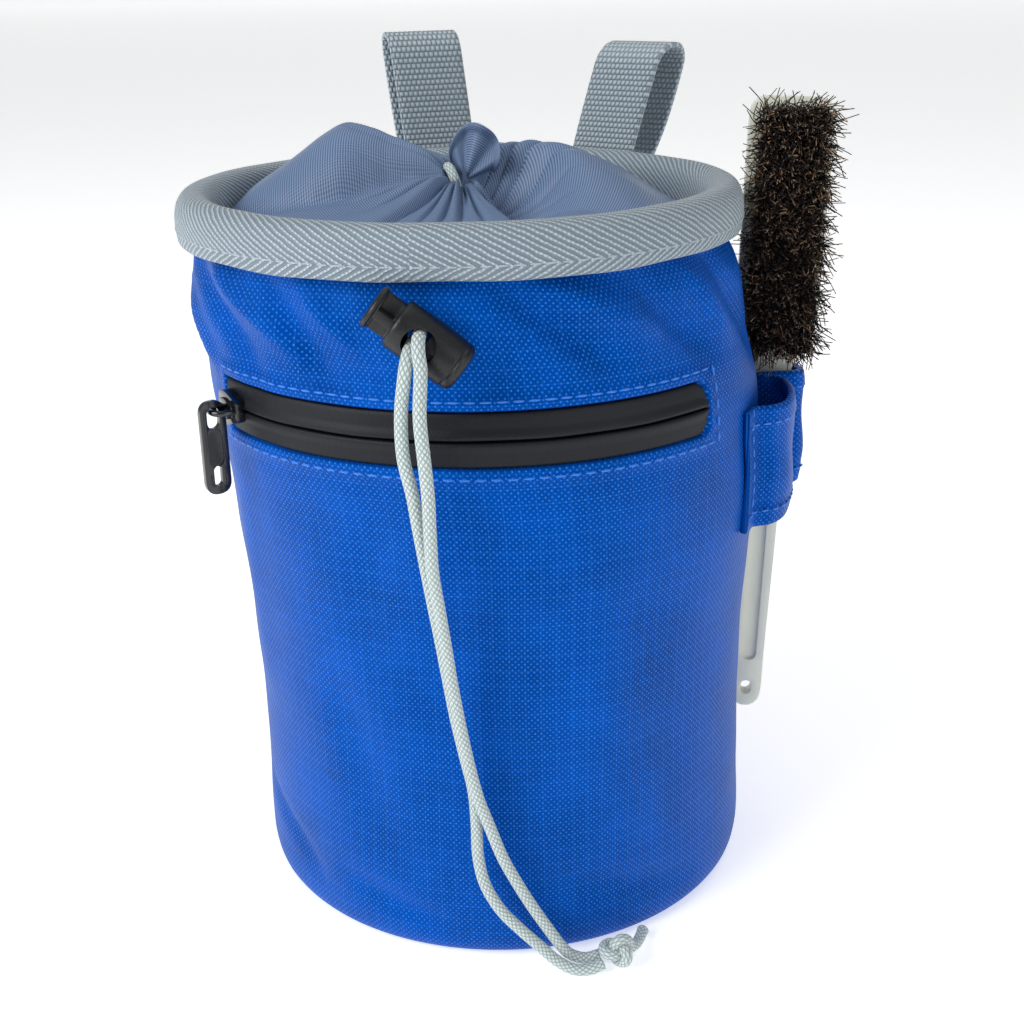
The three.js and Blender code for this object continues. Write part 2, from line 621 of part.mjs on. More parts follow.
// The handle: a flat bar with a wide head, sunk channels on both faces and a hanging hole.
function makeHandle() {
  const shape = new THREE.Shape();
  const side = (sign) => HANDLE_OUTLINE.map((row) => [sign * row.of * row.half, row.place * BRUSH_LENGTH]);
  const outline = [...side(1), ...side(-1).reverse()];
  outline.forEach(([x, y], i) => (i ? shape.lineTo(x, y) : shape.moveTo(x, y)));
  shape.holes.push(roundEndedHole(HANGING_HOLE.width, HANGING_HOLE.length, HANGING_HOLE.fromEnd));
  const bar = new THREE.ExtrudeGeometry(shape, { depth: BRUSH_THICKNESS, bevelEnabled: false });
  const channels = [0, 1].map((face) => {
    const { wide, long, from, deep } = HANDLE_CHANNEL;
    const channel = roundEndedShape(wide * BRUSH_NECK_WIDTH, long * BRUSH_LENGTH);
    const options = { depth: 2 * deep, bevelEnabled: false, curveSegments: 4 };
    const sunk = new THREE.ExtrudeGeometry(channel, options);
    sunk.translate(0, from * BRUSH_LENGTH, face ? BRUSH_THICKNESS - deep : -deep);
    return sunk;
  });
  const handle = cut(bar, ...channels);
  handle.translate(0, 0, -BRUSH_THICKNESS / 2);
  handle.rotateX(Math.PI / 2);
  return handle;
}

// The bristles: rows of flared tufts fused to one thin backing on the head's front face.
function makeBristles() {
  const front = -BRUSH_THICKNESS / 2 - GAP;
  const low = HEAD_PLACE * BRUSH_LENGTH + BRISTLE_MARGIN;
  const long = BRUSH_LENGTH - BRISTLE_MARGIN - low;
  const backing = new THREE.BoxGeometry(BRISTLE_BLOCK_WIDTH, 1, long);
  backing.translate(0, front - 0.5, low + long / 2);
  const wide = BRISTLE_BLOCK_WIDTH / BRISTLE_COLUMNS;
  const tall = long / BRISTLE_ROWS;
  let whole = toSolid(backing);
  for (let row = 0; row < BRISTLE_ROWS; row += 1) {
    for (let column = 0; column < BRISTLE_COLUMNS; column += 1) {
      const flare = 1.06 + 0.08 * ((row * 5 + column * 3) % 4);
      const length = BRISTLE_LENGTH * (0.9 + 0.05 * ((row * 3 + column * 2) % 3));
      const tuft = new THREE.CylinderGeometry(0.5 * wide * flare, 0.42 * wide, length, 5);
      tuft.rotateX(Math.PI);
      tuft.scale(1, 1, tall / wide);
      tuft.rotateY(0.4 * row);
      tuft.translate(
        (column + 0.5) * wide - BRISTLE_BLOCK_WIDTH / 2,
        front - 0.4 - length / 2,
        low + (row + 0.5) * tall,
      );
      whole = whole.add(toSolid(tuft));
    }
  }
  return toGeometry(whole);
}

// A strip of cloth standing on the wall along a plan path: x along the wall from an angle, y off the wall.
function clothStrip(angle, path, thickness, low, high) {
  const round = sectionAt(low).radius * RADIANS;
  const levels = [0, 0.34, 0.67, 1].map((share) => THREE.MathUtils.lerp(low, high, share));
  const rings = path.map(([x, y], i) => {
    const [beforeX, beforeY] = path[Math.max(i - 1, 0)];
    const [afterX, afterY] = path[Math.min(i + 1, path.length - 1)];
    const across = new THREE.Vector2(beforeY - afterY, afterX - beforeX).normalize();
    const side = (sign, z) => wallPoint(
      angle + (x + (sign * across.x * thickness) / 2) / round,
      z,
      y + (sign * across.y * thickness) / 2,
    );
    return [...levels.map((z) => side(1, z)), ...levels.map((z) => side(-1, z)).reverse()];
  });
  return skinOverRings(rings);
}

// The holder: one strip sewn down at both ends and between its two channels, the wide one empty at the
// front and the narrow one round the brush's handle.
function makeHolder() {
  const sewn = GAP + HOLDER_CLOTH / 2;
  const half = (BRUSH_THICKNESS + HOLDER_CLOTH) / 2 + HOLDER_PLAY;
  const deep = BRUSH_STAND_OFF + (BRUSH_NECK_WIDTH + HOLDER_CLOTH) / 2 + 2 * GAP;
  const middle = -half - 1.9;
  const arch = FRONT_CHANNEL_DEPTH;
  const front = middle - FRONT_CHANNEL_WIDTH;
  const path = [
    [front - HOLDER_TAB_WIDTH, sewn], [front - 1.2, sewn], [front + 0.4, 0.25 * arch],
    [front + 1.8, 0.58 * arch], [front + 5, 0.86 * arch], [front + 9.5, arch], [middle - 7, arch],
    [middle - 3, 0.9 * arch], [middle - 1.4, 0.62 * arch], [middle - 0.9, 0.25 * arch], [middle, sewn],
    [middle + 1.2, 0.2 * arch], [-half, 0.5 * deep], [-half, deep - 1.6], [1 - half, deep], [0, deep + 0.4],
    [half - 1, deep], [half, deep - 1.6], [half, 0.3 * deep], [half + 0.9, 0.14 * deep],
    [half + 2.4, sewn], [half + HOLDER_TAB_WIDTH, sewn],
  ];
  return clothStrip(BRUSH_ANGLE, path, HOLDER_CLOTH, HOLDER_BOTTOM, HOLDER_TOP);
}

// The cord lock's own frame: x along the barrel toward its closed end, y inward, z across it.
function lockFrame() {
  const frame = wallFrame(LOCK_ANGLE, LOCK_HEIGHT, BARREL_DIAMETER / 2 + GAP);
  return frame.multiply(new THREE.Matrix4().makeRotationY(LOCK_TILT * RADIANS));
}

function lathedAlongX(outline) {
  const points = outline.map(([radius, x]) => new THREE.Vector2(radius, x)).reverse();
  const turned = new THREE.LatheGeometry(points, 16);
  turned.rotateZ(-Math.PI / 2);
  return turned;
}

function roundBar(diameter, length, sides = 16) {
  return new THREE.CylinderGeometry(diameter / 2, diameter / 2, length, sides);
}

function makeBarrel() {
  const r = BARREL_DIAMETER / 2;
  const half = BARREL_LENGTH / 2;
  const bore = r - BARREL_WALL;
  const outline = [
    [0, half], [0.86 * r, half], [0.97 * r, half - 0.7], [r, 0.3 * half], [0.98 * r, -half + 0.5],
    [0.93 * r, -half], [bore, -half], [bore, half - BARREL_END_WALL], [0, half - BARREL_END_WALL],
  ];
  const hole = roundBar(CORD_HOLE_DIAMETER, 2 * BARREL_DIAMETER);
  hole.translate(CORD_HOLE_PLACE, 0, 0);
  return cut(lathedAlongX(outline), hole);
}

// The plunger: a stem with the cords' slot, a ribbed neck and the flange that a thumb presses.
function makePlunger() {
  const r = BARREL_DIAMETER / 2 - BARREL_WALL - PLUNGER_CLEARANCE;
  const face = -BARREL_LENGTH / 2;
  const inner = BARREL_LENGTH / 2 - BARREL_END_WALL - PLUNGER_TRAVEL - 2 * GAP;
  const flange = face - PLUNGER_NECK;
  const outline = [
    [0, inner], [r, inner], [r, flange], [FLANGE_DIAMETER / 2, flange],
    [FLANGE_DIAMETER / 2, flange - 0.8], [FLANGE_DIAMETER / 2 - 0.5, flange - FLANGE_THICKNESS],
    [0, flange - FLANGE_THICKNESS],
  ];
  const slotRight = CORD_PLACE + CORD_DIAMETER / 2 + 2 * GAP;
  const slotLeft = CORD_PLACE - CORD_DIAMETER / 2 - GAP - PLUNGER_TRAVEL;
  const slot = new THREE.BoxGeometry(slotRight - slotLeft, 4 * r, 2 * CORD_DIAMETER + 4 * GAP);
  slot.translate((slotLeft + slotRight) / 2, 0, 0);
  const pockets = [-1, 1].flatMap((a) => [-1, 1].map((b) => {
    const pocket = new THREE.BoxGeometry(PLUNGER_NECK - 1, r, r);
    pocket.translate(face - (PLUNGER_NECK + 0.6) / 2, (a * (r + 1.4)) / 2, (b * (r + 1.4)) / 2);
    return pocket;
  }));
  return cut(lathedAlongX(outline), slot, ...pockets);
}

// A round tube along a smooth line through the given points.
function tubeAlong(points, diameter, sides) {
  const curve = new THREE.CatmullRomCurve3(points, false, 'centripetal');
  const section = new THREE.Shape();
  for (let i = 0; i < sides; i += 1) {
    const turned = (2 * Math.PI * (i + 0.5)) / sides;
    const x = (diameter / 2) * Math.cos(turned);
    const y = (diameter / 2) * Math.sin(turned);
    if (i) {
      section.lineTo(x, y);
    } else {
      section.moveTo(x, y);
    }
  }
  const steps = Math.round(curve.getLength() / CORD_STEP);
  return new THREE.ExtrudeGeometry(section, { steps, extrudePath: curve, bevelEnabled: false });
}

// A strand: out of the wall, through the lock, over a round bend, then down its own points.
function strandPath(side, points) {
  const frame = lockFrame();
  const across = (side * (CORD_DIAMETER + GAP)) / 2;
  const inWall = BARREL_DIAMETER / 2 + GAP + WALL / 2;
  const start = new THREE.Vector3(CORD_PLACE, inWall, across).applyMatrix4(frame);
  const outward = new THREE.Vector3(0, -1, 0).transformDirection(frame);
  const bend = 2 * CORD_DIAMETER;
  const straight = BARREL_DIAMETER + GAP - WALL / 2;
  const path = [0, 0.5, 1].map((share) => start.clone().addScaledVector(outward, straight * share));
  for (const degrees of [30, 60, 90]) {
    const point = path[2].clone().addScaledVector(outward, bend * Math.sin(degrees * RADIANS));
    point.x += 0.5 * across * (1 - Math.cos(degrees * RADIANS));
    point.z -= bend * (1 - Math.cos(degrees * RADIANS));
    path.push(point);
  }
  return [...path, ...points.map((p) => new THREE.Vector3(...p))];
}

// The holes through which the two strands leave the wall.
function makeCordHoles() {
  const frame = lockFrame();
  return [-1, 1].map((side) => {
    const hole = roundBar(CORD_DIAMETER + 2 * GAP, 4 * WALL, 12);
    const across = (side * (CORD_DIAMETER + GAP)) / 2;
    hole.translate(CORD_PLACE, BARREL_DIAMETER / 2 + GAP + WALL / 2, across);
    return placed(hole, frame);
  });
}

// The knot: three turns of the doubled cord round each other, drawn tight, with their short tail.
function makeKnot() {
  const turns = [[0, 0, 1], [0.94, 0.2, -0.34], [-0.9, 0.28, -0.42]].map((direction) => {
    const turn = new THREE.SphereGeometry(1, 9, 6);
    turn.scale(1.55 * KNOT_SIZE, 1.3 * KNOT_SIZE, 1.25 * KNOT_SIZE);
    turn.rotateY(Math.atan2(direction[0], direction[2]) + 0.5);
    turn.translate(...direction.map((share) => 0.55 * KNOT_SIZE * share));
    turn.translate(...KNOT_CENTRE);
    return turn;
  });
  const tail = [KNOT_CENTRE, ...KNOT_TAIL_POINTS].map((p) => new THREE.Vector3(...p));
  return fuse(...turns, tubeAlong(tail, CORD_DIAMETER, CORD_SIDES));
}

addPiece('bag_body', cut(makeBody(), makeZipRecess(), ...makeCordHoles()), MATERIALS.shell);
addPiece('rim_binding', makeBinding(), MATERIALS.binding);
addPiece('lining_closure', makeLining(), MATERIALS.lining);
addPiece('zip_tape_upper', makeZipTape(1), MATERIALS.coated);
addPiece('zip_tape_lower', makeZipTape(-1), MATERIALS.coated);
addPiece('zip_slider', makeSlider(), MATERIALS.lacquer);
const pull = addPiece('zip_pull', makePull(), MATERIALS.lacquer);
pull.applyMatrix4(wallFrame(SLIDER_ANGLE, ZIP_CENTRE, PIVOT_OFFSET));
addPiece('belt_loop_left', makeLoop(LEFT_LOOP), MATERIALS.webbing);
addPiece('belt_loop_right', makeLoop(RIGHT_LOOP), MATERIALS.webbing);
addPiece('brush_holder', makeHolder(), MATERIALS.shell);
const brush = new THREE.Group();
brush.applyMatrix4(brushFrame());
bag.add(brush);
addPiece('brush_handle', makeHandle(), MATERIALS.handle, brush);
addPiece('brush_bristles', makeBristles(), MATERIALS.bristle, brush);
const lock = new THREE.Group();
lock.applyMatrix4(lockFrame());
bag.add(lock);
addPiece('cord_lock_barrel', makeBarrel(), MATERIALS.moulded, lock);
addPiece('cord_lock_plunger', makePlunger(), MATERIALS.moulded, lock);
const left = tubeAlong(strandPath(-1, LEFT_STRAND_POINTS), CORD_DIAMETER, CORD_SIDES);
const right = tubeAlong(strandPath(1, RIGHT_STRAND_POINTS), CORD_DIAMETER, CORD_SIDES);
addPiece('cord_left', left, MATERIALS.cord);
addPiece('cord_right', right, MATERIALS.cord);
addPiece('cord_knot', makeKnot(), MATERIALS.cord);

export default bag;
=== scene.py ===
import math

import bmesh
import bpy
import numpy as np
from bpy.props import FloatProperty, FloatVectorProperty, IntProperty, PointerProperty
from mathutils import Matrix, Vector


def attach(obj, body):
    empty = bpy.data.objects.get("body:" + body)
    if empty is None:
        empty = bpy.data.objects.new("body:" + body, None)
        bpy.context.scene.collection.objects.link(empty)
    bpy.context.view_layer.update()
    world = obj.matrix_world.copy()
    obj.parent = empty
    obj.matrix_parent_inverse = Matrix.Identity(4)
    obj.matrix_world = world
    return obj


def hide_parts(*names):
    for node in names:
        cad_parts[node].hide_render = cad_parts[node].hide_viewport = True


bl_info = {
    "name": "Climbing chalk bag",
    "version": (1, 0, 0),
    "blender": (4, 5, 0),
    "location": "View3D > Sidebar > Chalk bag",
    "description": "Makes a drawstring chalk bag with its zip pocket, cord lock, belt loops and brush",
    "category": "Add Mesh",
}

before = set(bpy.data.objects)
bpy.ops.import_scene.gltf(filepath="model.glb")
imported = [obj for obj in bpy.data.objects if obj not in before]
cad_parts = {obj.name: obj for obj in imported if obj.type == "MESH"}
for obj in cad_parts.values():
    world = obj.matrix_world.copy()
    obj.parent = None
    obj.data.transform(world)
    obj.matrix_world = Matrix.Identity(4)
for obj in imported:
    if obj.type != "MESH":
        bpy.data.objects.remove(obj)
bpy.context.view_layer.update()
MM = 0.001


def linear(hex_colour, alpha=None):
    """A colour from its sRGB hex value, as the linear numbers that shaders read."""
    parts = [int(hex_colour[i : i + 2], 16) / 255 for i in (1, 3, 5)]
    lin = [c / 12.92 if c <= 0.04045 else ((c + 0.055) / 1.055) ** 2.4 for c in parts]
    return (*lin, alpha) if alpha is not None else tuple(lin)


def length(label, words, default_mm):
    """A length property, given in millimetres."""
    return FloatProperty(name=label, description=words, default=default_mm * MM, unit="LENGTH", precision=5)


def power(label, words, watts):
    """A light's power property."""
    return FloatProperty(name=label, description=words, default=watts, unit="POWER")


def colour(label, words, hex_colour):
    """A colour property, given as sRGB hex."""
    return FloatVectorProperty(
        name=label, description=words, default=linear(hex_colour), subtype="COLOR", size=3, min=0, max=1
    )


class BagSizes(bpy.types.PropertyGroup):
    """Sizes of the bag itself"""

    rim_diameter: length("Rim diameter", "Outside of the bound rim", 132)
    height: length("Height", "Floor to the top of the rim", 173)
    rim_lean: length("Rim lean", "How far the rim's centre stands off the base's centre", 7.3)
    wall: length("Wall", "Shell cloth, foam and lining together", 2.6)
    binding_height: length("Binding height", "How far the webbing reaches down from the rim", 11)
    zip_height: length("Zip height", "Floor to the zip's centre line", 129.4)
    zip_width: length("Zip width", "Both halves of the coated tape", 11.75)
    cord_diameter: length("Cord diameter", "Each strand of the drawcord", 2.7)
    webbing_width: length("Webbing width", "Width of the belt loops", 20)
    webbing_thickness: length("Webbing thickness", "Thickness of the belt loops", 1.3)
    stitch_pitch: length("Stitch pitch", "From one stitch to the next", 3.3)
    stitch_length: length("Stitch length", "The thread that shows in one stitch", 2.5)
    thread_radius: length("Thread radius", "Half the sewing thread's thickness", 0.27)


class BrushSizes(bpy.types.PropertyGroup):
    """Sizes of the brush"""

    long: length("Length", "Whole brush", 161)
    head_width: length("Head width", "The handle where the bristles stand", 20)
    neck_width: length("Neck width", "The handle below its head", 9.6)
    end_width: length("End width", "The handle's lower end", 7.8)
    thickness: length("Thickness", "The handle from face to face", 4.4)
    bristle_length: length("Bristle length", "How far the bristles stand out", 13.4)
    bristle_radius: length("Bristle radius", "Half the thickness of one bristle", 0.13)
    bristle_count: IntProperty(
        name="Bristles", description="How many bristles the brush has", default=7000, min=10, max=8000
    )
    seed: IntProperty(name="Seed", description="Where the chance in the bristles starts", default=7)


class BagColours(bpy.types.PropertyGroup):
    """Colours of the bag, its trims and its brush"""

    shell: colour("Shell", "Shell cloth", "#004cab")
    # Painted highlight for the crests of the shell cloth's threads.
    shell_crest_highlight: colour("Shell thread", "Raised threads of the shell cloth", "#2f8cff")
    stitch: colour("Stitches", "Sewing thread on the shell", "#1c7fee")
    binding: colour("Binding", "Webbing round the rim", "#b4c3cc")
    # Painted shade between the ribs of the rim webbing.
    binding_gap_shade: colour("Binding gaps", "Between the ribs of the rim webbing", "#6f7e8a")
    webbing: colour("Loop webbing", "Webbing of the belt loops", "#bcc8d0")
    # Painted shade between the threads of the belt loops' webbing.
    webbing_gap_shade: colour("Loop webbing gaps", "Between the threads of the loops", "#73848e")
    lining: colour("Lining", "Silky lining cloth", "#3f5578")
    # Painted highlight for the crests of the lining's fine lines.
    lining_crest_highlight: colour("Lining thread", "Raised threads of the lining", "#8097b8")
    cord: colour("Cord", "Braided drawcord", "#d7e3e1")
    # Painted shade between the strands of the braid.
    cord_gap_shade: colour("Cord gaps", "Between the strands of the braid", "#8b9c9c")
    zip_tape: colour("Zip", "Coated zip tape", "#04070f")
    lacquer: colour("Slider", "Lacquered slider and pull", "#050609")
    lock: colour("Cord lock", "Moulded cord lock", "#040509")
    handle: colour("Handle", "Brush handle", "#eef0e2")
    bristle: colour("Bristles", "Dark bristles", "#08070d")
    bristle_light: colour("Light bristles", "The few light bristles", "#b8987c")


class StageSettings(bpy.types.PropertyGroup):
    """Floor, lights and camera"""

    floor: colour("Floor", "Pale studio floor", "#ffffff")
    key_power: power("Key light", "Power of the large light", 12)
    fill_power: power("Fill light", "Power of the soft light", 3)
    top_power: power("Top light", "Power of the light above", 3)
    lens: FloatProperty(name="Lens", description="The camera's focal length", default=50.9, unit="CAMERA")


# How the bag's outside runs from the floor up: height as a share of the bag's height, radius as a share of
# the rim's radius, lean as a share of the rim's lean.
BODY_SECTIONS = np.array([
    (0.0, 0.890, 0.0), (0.006, 0.922, 0.0), (0.02, 0.943, 0.0), (0.045, 0.950, 0.0), (0.13, 0.944, 0.01),
    (0.27, 0.937, 0.03), (0.4, 0.947, 0.06), (0.49, 0.961, 0.06), (0.56, 0.978, 0.05), (0.62, 0.985, 0.08),
    (0.68, 0.992, 0.2), (0.735, 0.998, 0.32), (0.78, 0.992, 0.4), (0.82, 0.98, 0.45), (0.855, 0.982, 0.62),
    (0.885, 0.98, 0.75), (0.91, 0.962, 0.88), (0.935, 0.934, 1.0), (0.994, 0.934, 1.0),
])
RIM_LEAN_DIRECTION = math.radians(189)
# Where the zip's opening starts at the left and the zip ends at the right, in degrees from the front.
ZIP_START, ZIP_END = -52.4, 54.7
# The wall's radius in millimetres where lengths round it are turned into angles, at the zip and elsewhere.
ZIP_RADIUS, WALL_RADIUS = 65, 64
# From one bump to the next in millimetres: round the braid, and across the loops' webbing.
BRAID, PILLOW = 1.06, 1.35

# Dents and swellings of the wall: angle from the front toward +X and spread in degrees, height and tallness
# as shares of the bag's height, depth as a share of the rim's radius.
DENTS = [
    # angle, height, spread, tall, depth
    (-38, 0.87, 13, 0.045, 0.026), (-20, 0.82, 9, 0.04, 0.02), (-58, 0.83, 12, 0.035, -0.012),
    (24, 0.87, 12, 0.04, 0.018), (52, 0.86, 11, 0.05, 0.02), (103, 0.83, 15, 0.072, 0.054),
    (-10, 0.42, 13, 0.17, 0.026), (30, 0.3, 20, 0.16, -0.008), (-48, 0.07, 10, 0.035, 0.014),
    (150, 0.5, 24, 0.2, 0.014), (-125, 0.42, 24, 0.22, 0.016), (-160, 0.85, 14, 0.05, 0.016),
]

# Creases of the wall, each a short line on it: angle and height in millimetres at both ends, then half
# width and depth in millimetres, before wall_depth's share. A negative depth is a raised fold.
CREASES = [
    (-62, 160, -40, 138, 3.4, 0.9), (-72, 152, -58, 137, 3.0, -0.7), (-50, 161, -30, 146, 3.2, -0.9),
    (-34, 161, -22, 140, 2.6, 0.8), (-24, 160, -14, 147, 2.2, -0.6), (14, 160, 34, 143, 3.0, 0.9),
    (22, 161, 44, 149, 2.8, -0.7), (40, 160, 58, 141, 3.4, 0.8), (56, 160, 66, 144, 2.6, -0.6),
    (66, 160, 80, 138, 3.4, 0.9), (-12, 118, -22, 84, 6, 0.5), (4, 104, -6, 58, 7, 0.6),
    (-30, 70, -20, 30, 6, 0.5), (26, 96, 34, 40, 9, -0.5), (-56, 116, -60, 60, 6, -0.4),
    (-66, 24, -40, 12, 3, 0.7), (-30, 16, -6, 9, 3, 0.5), (20, 20, 52, 10, 4, 0.5),
    (112, 158, 124, 130, 4, 0.8), (140, 158, 150, 124, 5, 0.8), (172, 160, 166, 120, 5, -0.7),
    (200, 158, 214, 128, 5, 0.8), (236, 160, 228, 126, 4, -0.7), (252, 158, 262, 132, 4, 0.8),
    (160, 90, 172, 30, 8, 0.7), (208, 84, 200, 26, 8, -0.6), (96, 80, 104, 24, 7, 0.5),
    (-92, 120, -86, 50, 7, 0.6), (-104, 60, -112, 14, 6, -0.5), (120, 30, 150, 12, 4, 0.6),
]


def size():
    return bpy.context.scene.bag_sizes


def paint():
    return bpy.context.scene.bag_colours


def mm(value):
    """A property's length in millimetres, in which the shapes are worked out."""
    return value / MM


def eased(xs, ys, x):
    """A smooth line through the given points that never swings past them."""
    steps = np.diff(xs)
    slopes = np.diff(ys) / steps
    tangents = np.zeros(len(xs))
    product = slopes[:-1] * slopes[1:]
    total = slopes[:-1] + slopes[1:]
    tangents[1:-1] = np.where(product > 0, 2 * product / np.where(total == 0, 1, total), 0)
    tangents[0], tangents[-1] = slopes[0], slopes[-1]
    x = np.clip(x, xs[0], xs[-1])
    i = np.clip(np.searchsorted(xs, x, side="right") - 1, 0, len(xs) - 2)
    t = (x - xs[i]) / steps[i]
    return (
        (2 * t**3 - 3 * t**2 + 1) * ys[i]
        + (t**3 - 2 * t**2 + t) * steps[i] * tangents[i]
        + (3 * t**2 - 2 * t**3) * ys[i + 1]
        + (t**3 - t**2) * steps[i] * tangents[i + 1]
    )


def step(low, high, x):
    """Smoothly from 0 at low to 1 at high."""
    t = np.clip((x - low) / (high - low), 0, 1)
    return t * t * (3 - 2 * t)


def hump(distance, half):
    """1 in the middle, 0 beyond the half width."""
    return (1 + np.cos(np.pi * np.minimum(np.abs(distance) / half, 1))) / 2


def turn(start, end):
    """The smaller way round between two angles in degrees."""
    return (end - start + 540) % 360 - 180


def lean():
    return mm(size().rim_lean) * np.array([math.cos(RIM_LEAN_DIRECTION), math.sin(RIM_LEAN_DIRECTION)])


def zip_edge(angle, z):
    """Distance in millimetres from the edge of the zip's opening, negative inside it."""
    run = ZIP_RADIUS * np.radians(angle)
    low, high = ZIP_RADIUS * math.radians(ZIP_START), ZIP_RADIUS * math.radians(ZIP_END + 0.4)
    half, corner = mm(size().zip_width) / 2 + 0.2, 3.4
    tall = half - corner
    across = np.abs(z - mm(size().zip_height)) - tall
    along = np.maximum(low - run, run - (high - corner))
    past = np.hypot(np.maximum(along, 0), np.maximum(across, 0)) + np.minimum(np.maximum(along, across), 0)
    return np.where(run > high - corner, past - corner, np.maximum(across - corner, low - run))


def wall_depth(angle, z):
    """How far the cloth lies inside its plain round shape."""
    tall = mm(size().height)
    radius = mm(size().rim_diameter) / 2
    depth = np.zeros(np.broadcast(angle, z).shape)
    for at, height, spread, rise, deep in DENTS:
        across = hump(turn(at, angle), 2 * spread)
        depth += radius * deep * across * hump(z / tall - height, 2 * rise)
    for angle1, z1, angle2, z2, half, deep in CREASES:
        run = WALL_RADIUS * np.radians(turn(angle1, angle))
        end = WALL_RADIUS * math.radians(angle2 - angle1)
        rise = z2 - z1
        along = np.clip((run * end + (z - z1) * rise) / (end**2 + rise**2), 0, 1)
        away = np.hypot(run - along * end, z - z1 - along * rise)
        # The cloth above the zip is pressed in deepest.
        share = 3.2 if min(z1, z2) > 124 else 2.2
        fade = np.sin(np.pi * (0.08 + 0.84 * along)) ** 0.7
        depth += share * deep * np.exp(-((away / half) ** 2)) * fade
    ripple = np.sin(0.21 * z + 3 * np.sin(np.radians(2 * angle))) * np.sin(np.radians(7 * angle) + 0.05 * z)
    depth += 0.12 * ripple * step(4, 20, z)
    pucker = np.sin(np.radians(34 * angle) + 2 * np.sin(np.radians(5 * angle)))
    depth += 0.22 * pucker * step(151, 160, z)
    quiet = 1 - 0.85 * hump(z - mm(size().zip_height), 16) * step(-64, -54, angle) * (1 - step(58, 68, angle))
    return depth * quiet * (1 - step(tall - 13.5, tall - 10.5, z)) * step(0.5, 8, z)


def wall(angle, z, offset=0.0):
    """Points of the bag's outside, in millimetres: angles in degrees from the front toward +X."""
    angle, z = np.broadcast_arrays(np.asarray(angle, float), np.asarray(z, float))
    share = z / mm(size().height)
    heights, radii, leans = BODY_SECTIONS.T
    radius = mm(size().rim_diameter) / 2 * eased(heights, radii, share)
    centre = eased(heights, leans, share)[..., None] * lean()
    radius = radius - wall_depth(angle, z) + offset
    turned = np.radians(angle)
    flat = centre + np.stack([np.sin(turned), -np.cos(turned)], -1) * radius[..., None]
    return np.concatenate([flat, z[..., None]], -1)


def wall_frame(angle, z, offset=0.0):
    """A frame on the wall in millimetres: x runs round toward greater angles, y inward, z up."""
    return Matrix.Translation(wall(angle, z, offset).tolist()) @ Matrix.Rotation(math.radians(angle), 4, "Z")


def run_of(line):
    """How far along a line each of its points lies."""
    return np.concatenate([[0], np.cumsum(np.linalg.norm(np.diff(line, axis=0), axis=1))])


def directions(line):
    """A line's direction at each of its points."""
    along = np.gradient(line, axis=0)
    return along / np.linalg.norm(along, axis=1)[:, None]


def through(points, count, closed=False):
    """Evenly spaced points along a smooth line through the given ones."""
    points = np.asarray(points, float)
    if closed:
        points = np.vstack([points[-1:], points, points[:2]])
    else:
        points = np.vstack([2 * points[0] - points[1], points, 2 * points[-1] - points[-2]])
    fine = []
    for i in range(1, len(points) - 2):
        p = points[i - 1 : i + 3]
        spans = np.maximum(np.linalg.norm(np.diff(p, axis=0), axis=1), 1e-6)
        knots = np.concatenate([[0], np.cumsum(spans**0.5)])
        t = np.linspace(knots[1], knots[2], 24, endpoint=False)[:, None]
        for count_left, (low, high) in zip((3, 2, 1), ((0, 1), (0, 2), (1, 2))):
            p = [
                ((knots[j + high] - t) * p[j] + (t - knots[j + low]) * p[j + 1])
                / (knots[j + high] - knots[j + low])
                for j in range(count_left)
            ]
        fine.append(p[0])
    fine.append(points[-2][None])
    fine = np.vstack(fine)
    run = run_of(fine)
    places = np.linspace(0, run[-1], count + 1 if closed else count)
    places = places[:-1] if closed else places
    return np.stack([np.interp(places, run, fine[:, k]) for k in range(points.shape[1])], -1)


def add(tree, kind, feeds=(), out=0, **settings):
    """One node in a tree, with its settings, and its inputs given as values or as sockets to link."""
    node = tree.nodes.new(kind)
    for key, value in settings.items():
        setattr(node, key, value)
    for key, value in feeds.items() if isinstance(feeds, dict) else enumerate(feeds):
        if isinstance(value, bpy.types.NodeSocket):
            tree.links.new(value, node.inputs[key])
        elif value is not None:
            node.inputs[key].default_value = value
    return node.outputs[out] if node.outputs else node


def opaque(value):
    return (*value, 1.0)


def dim(value, share):
    return tuple(share * part for part in value)


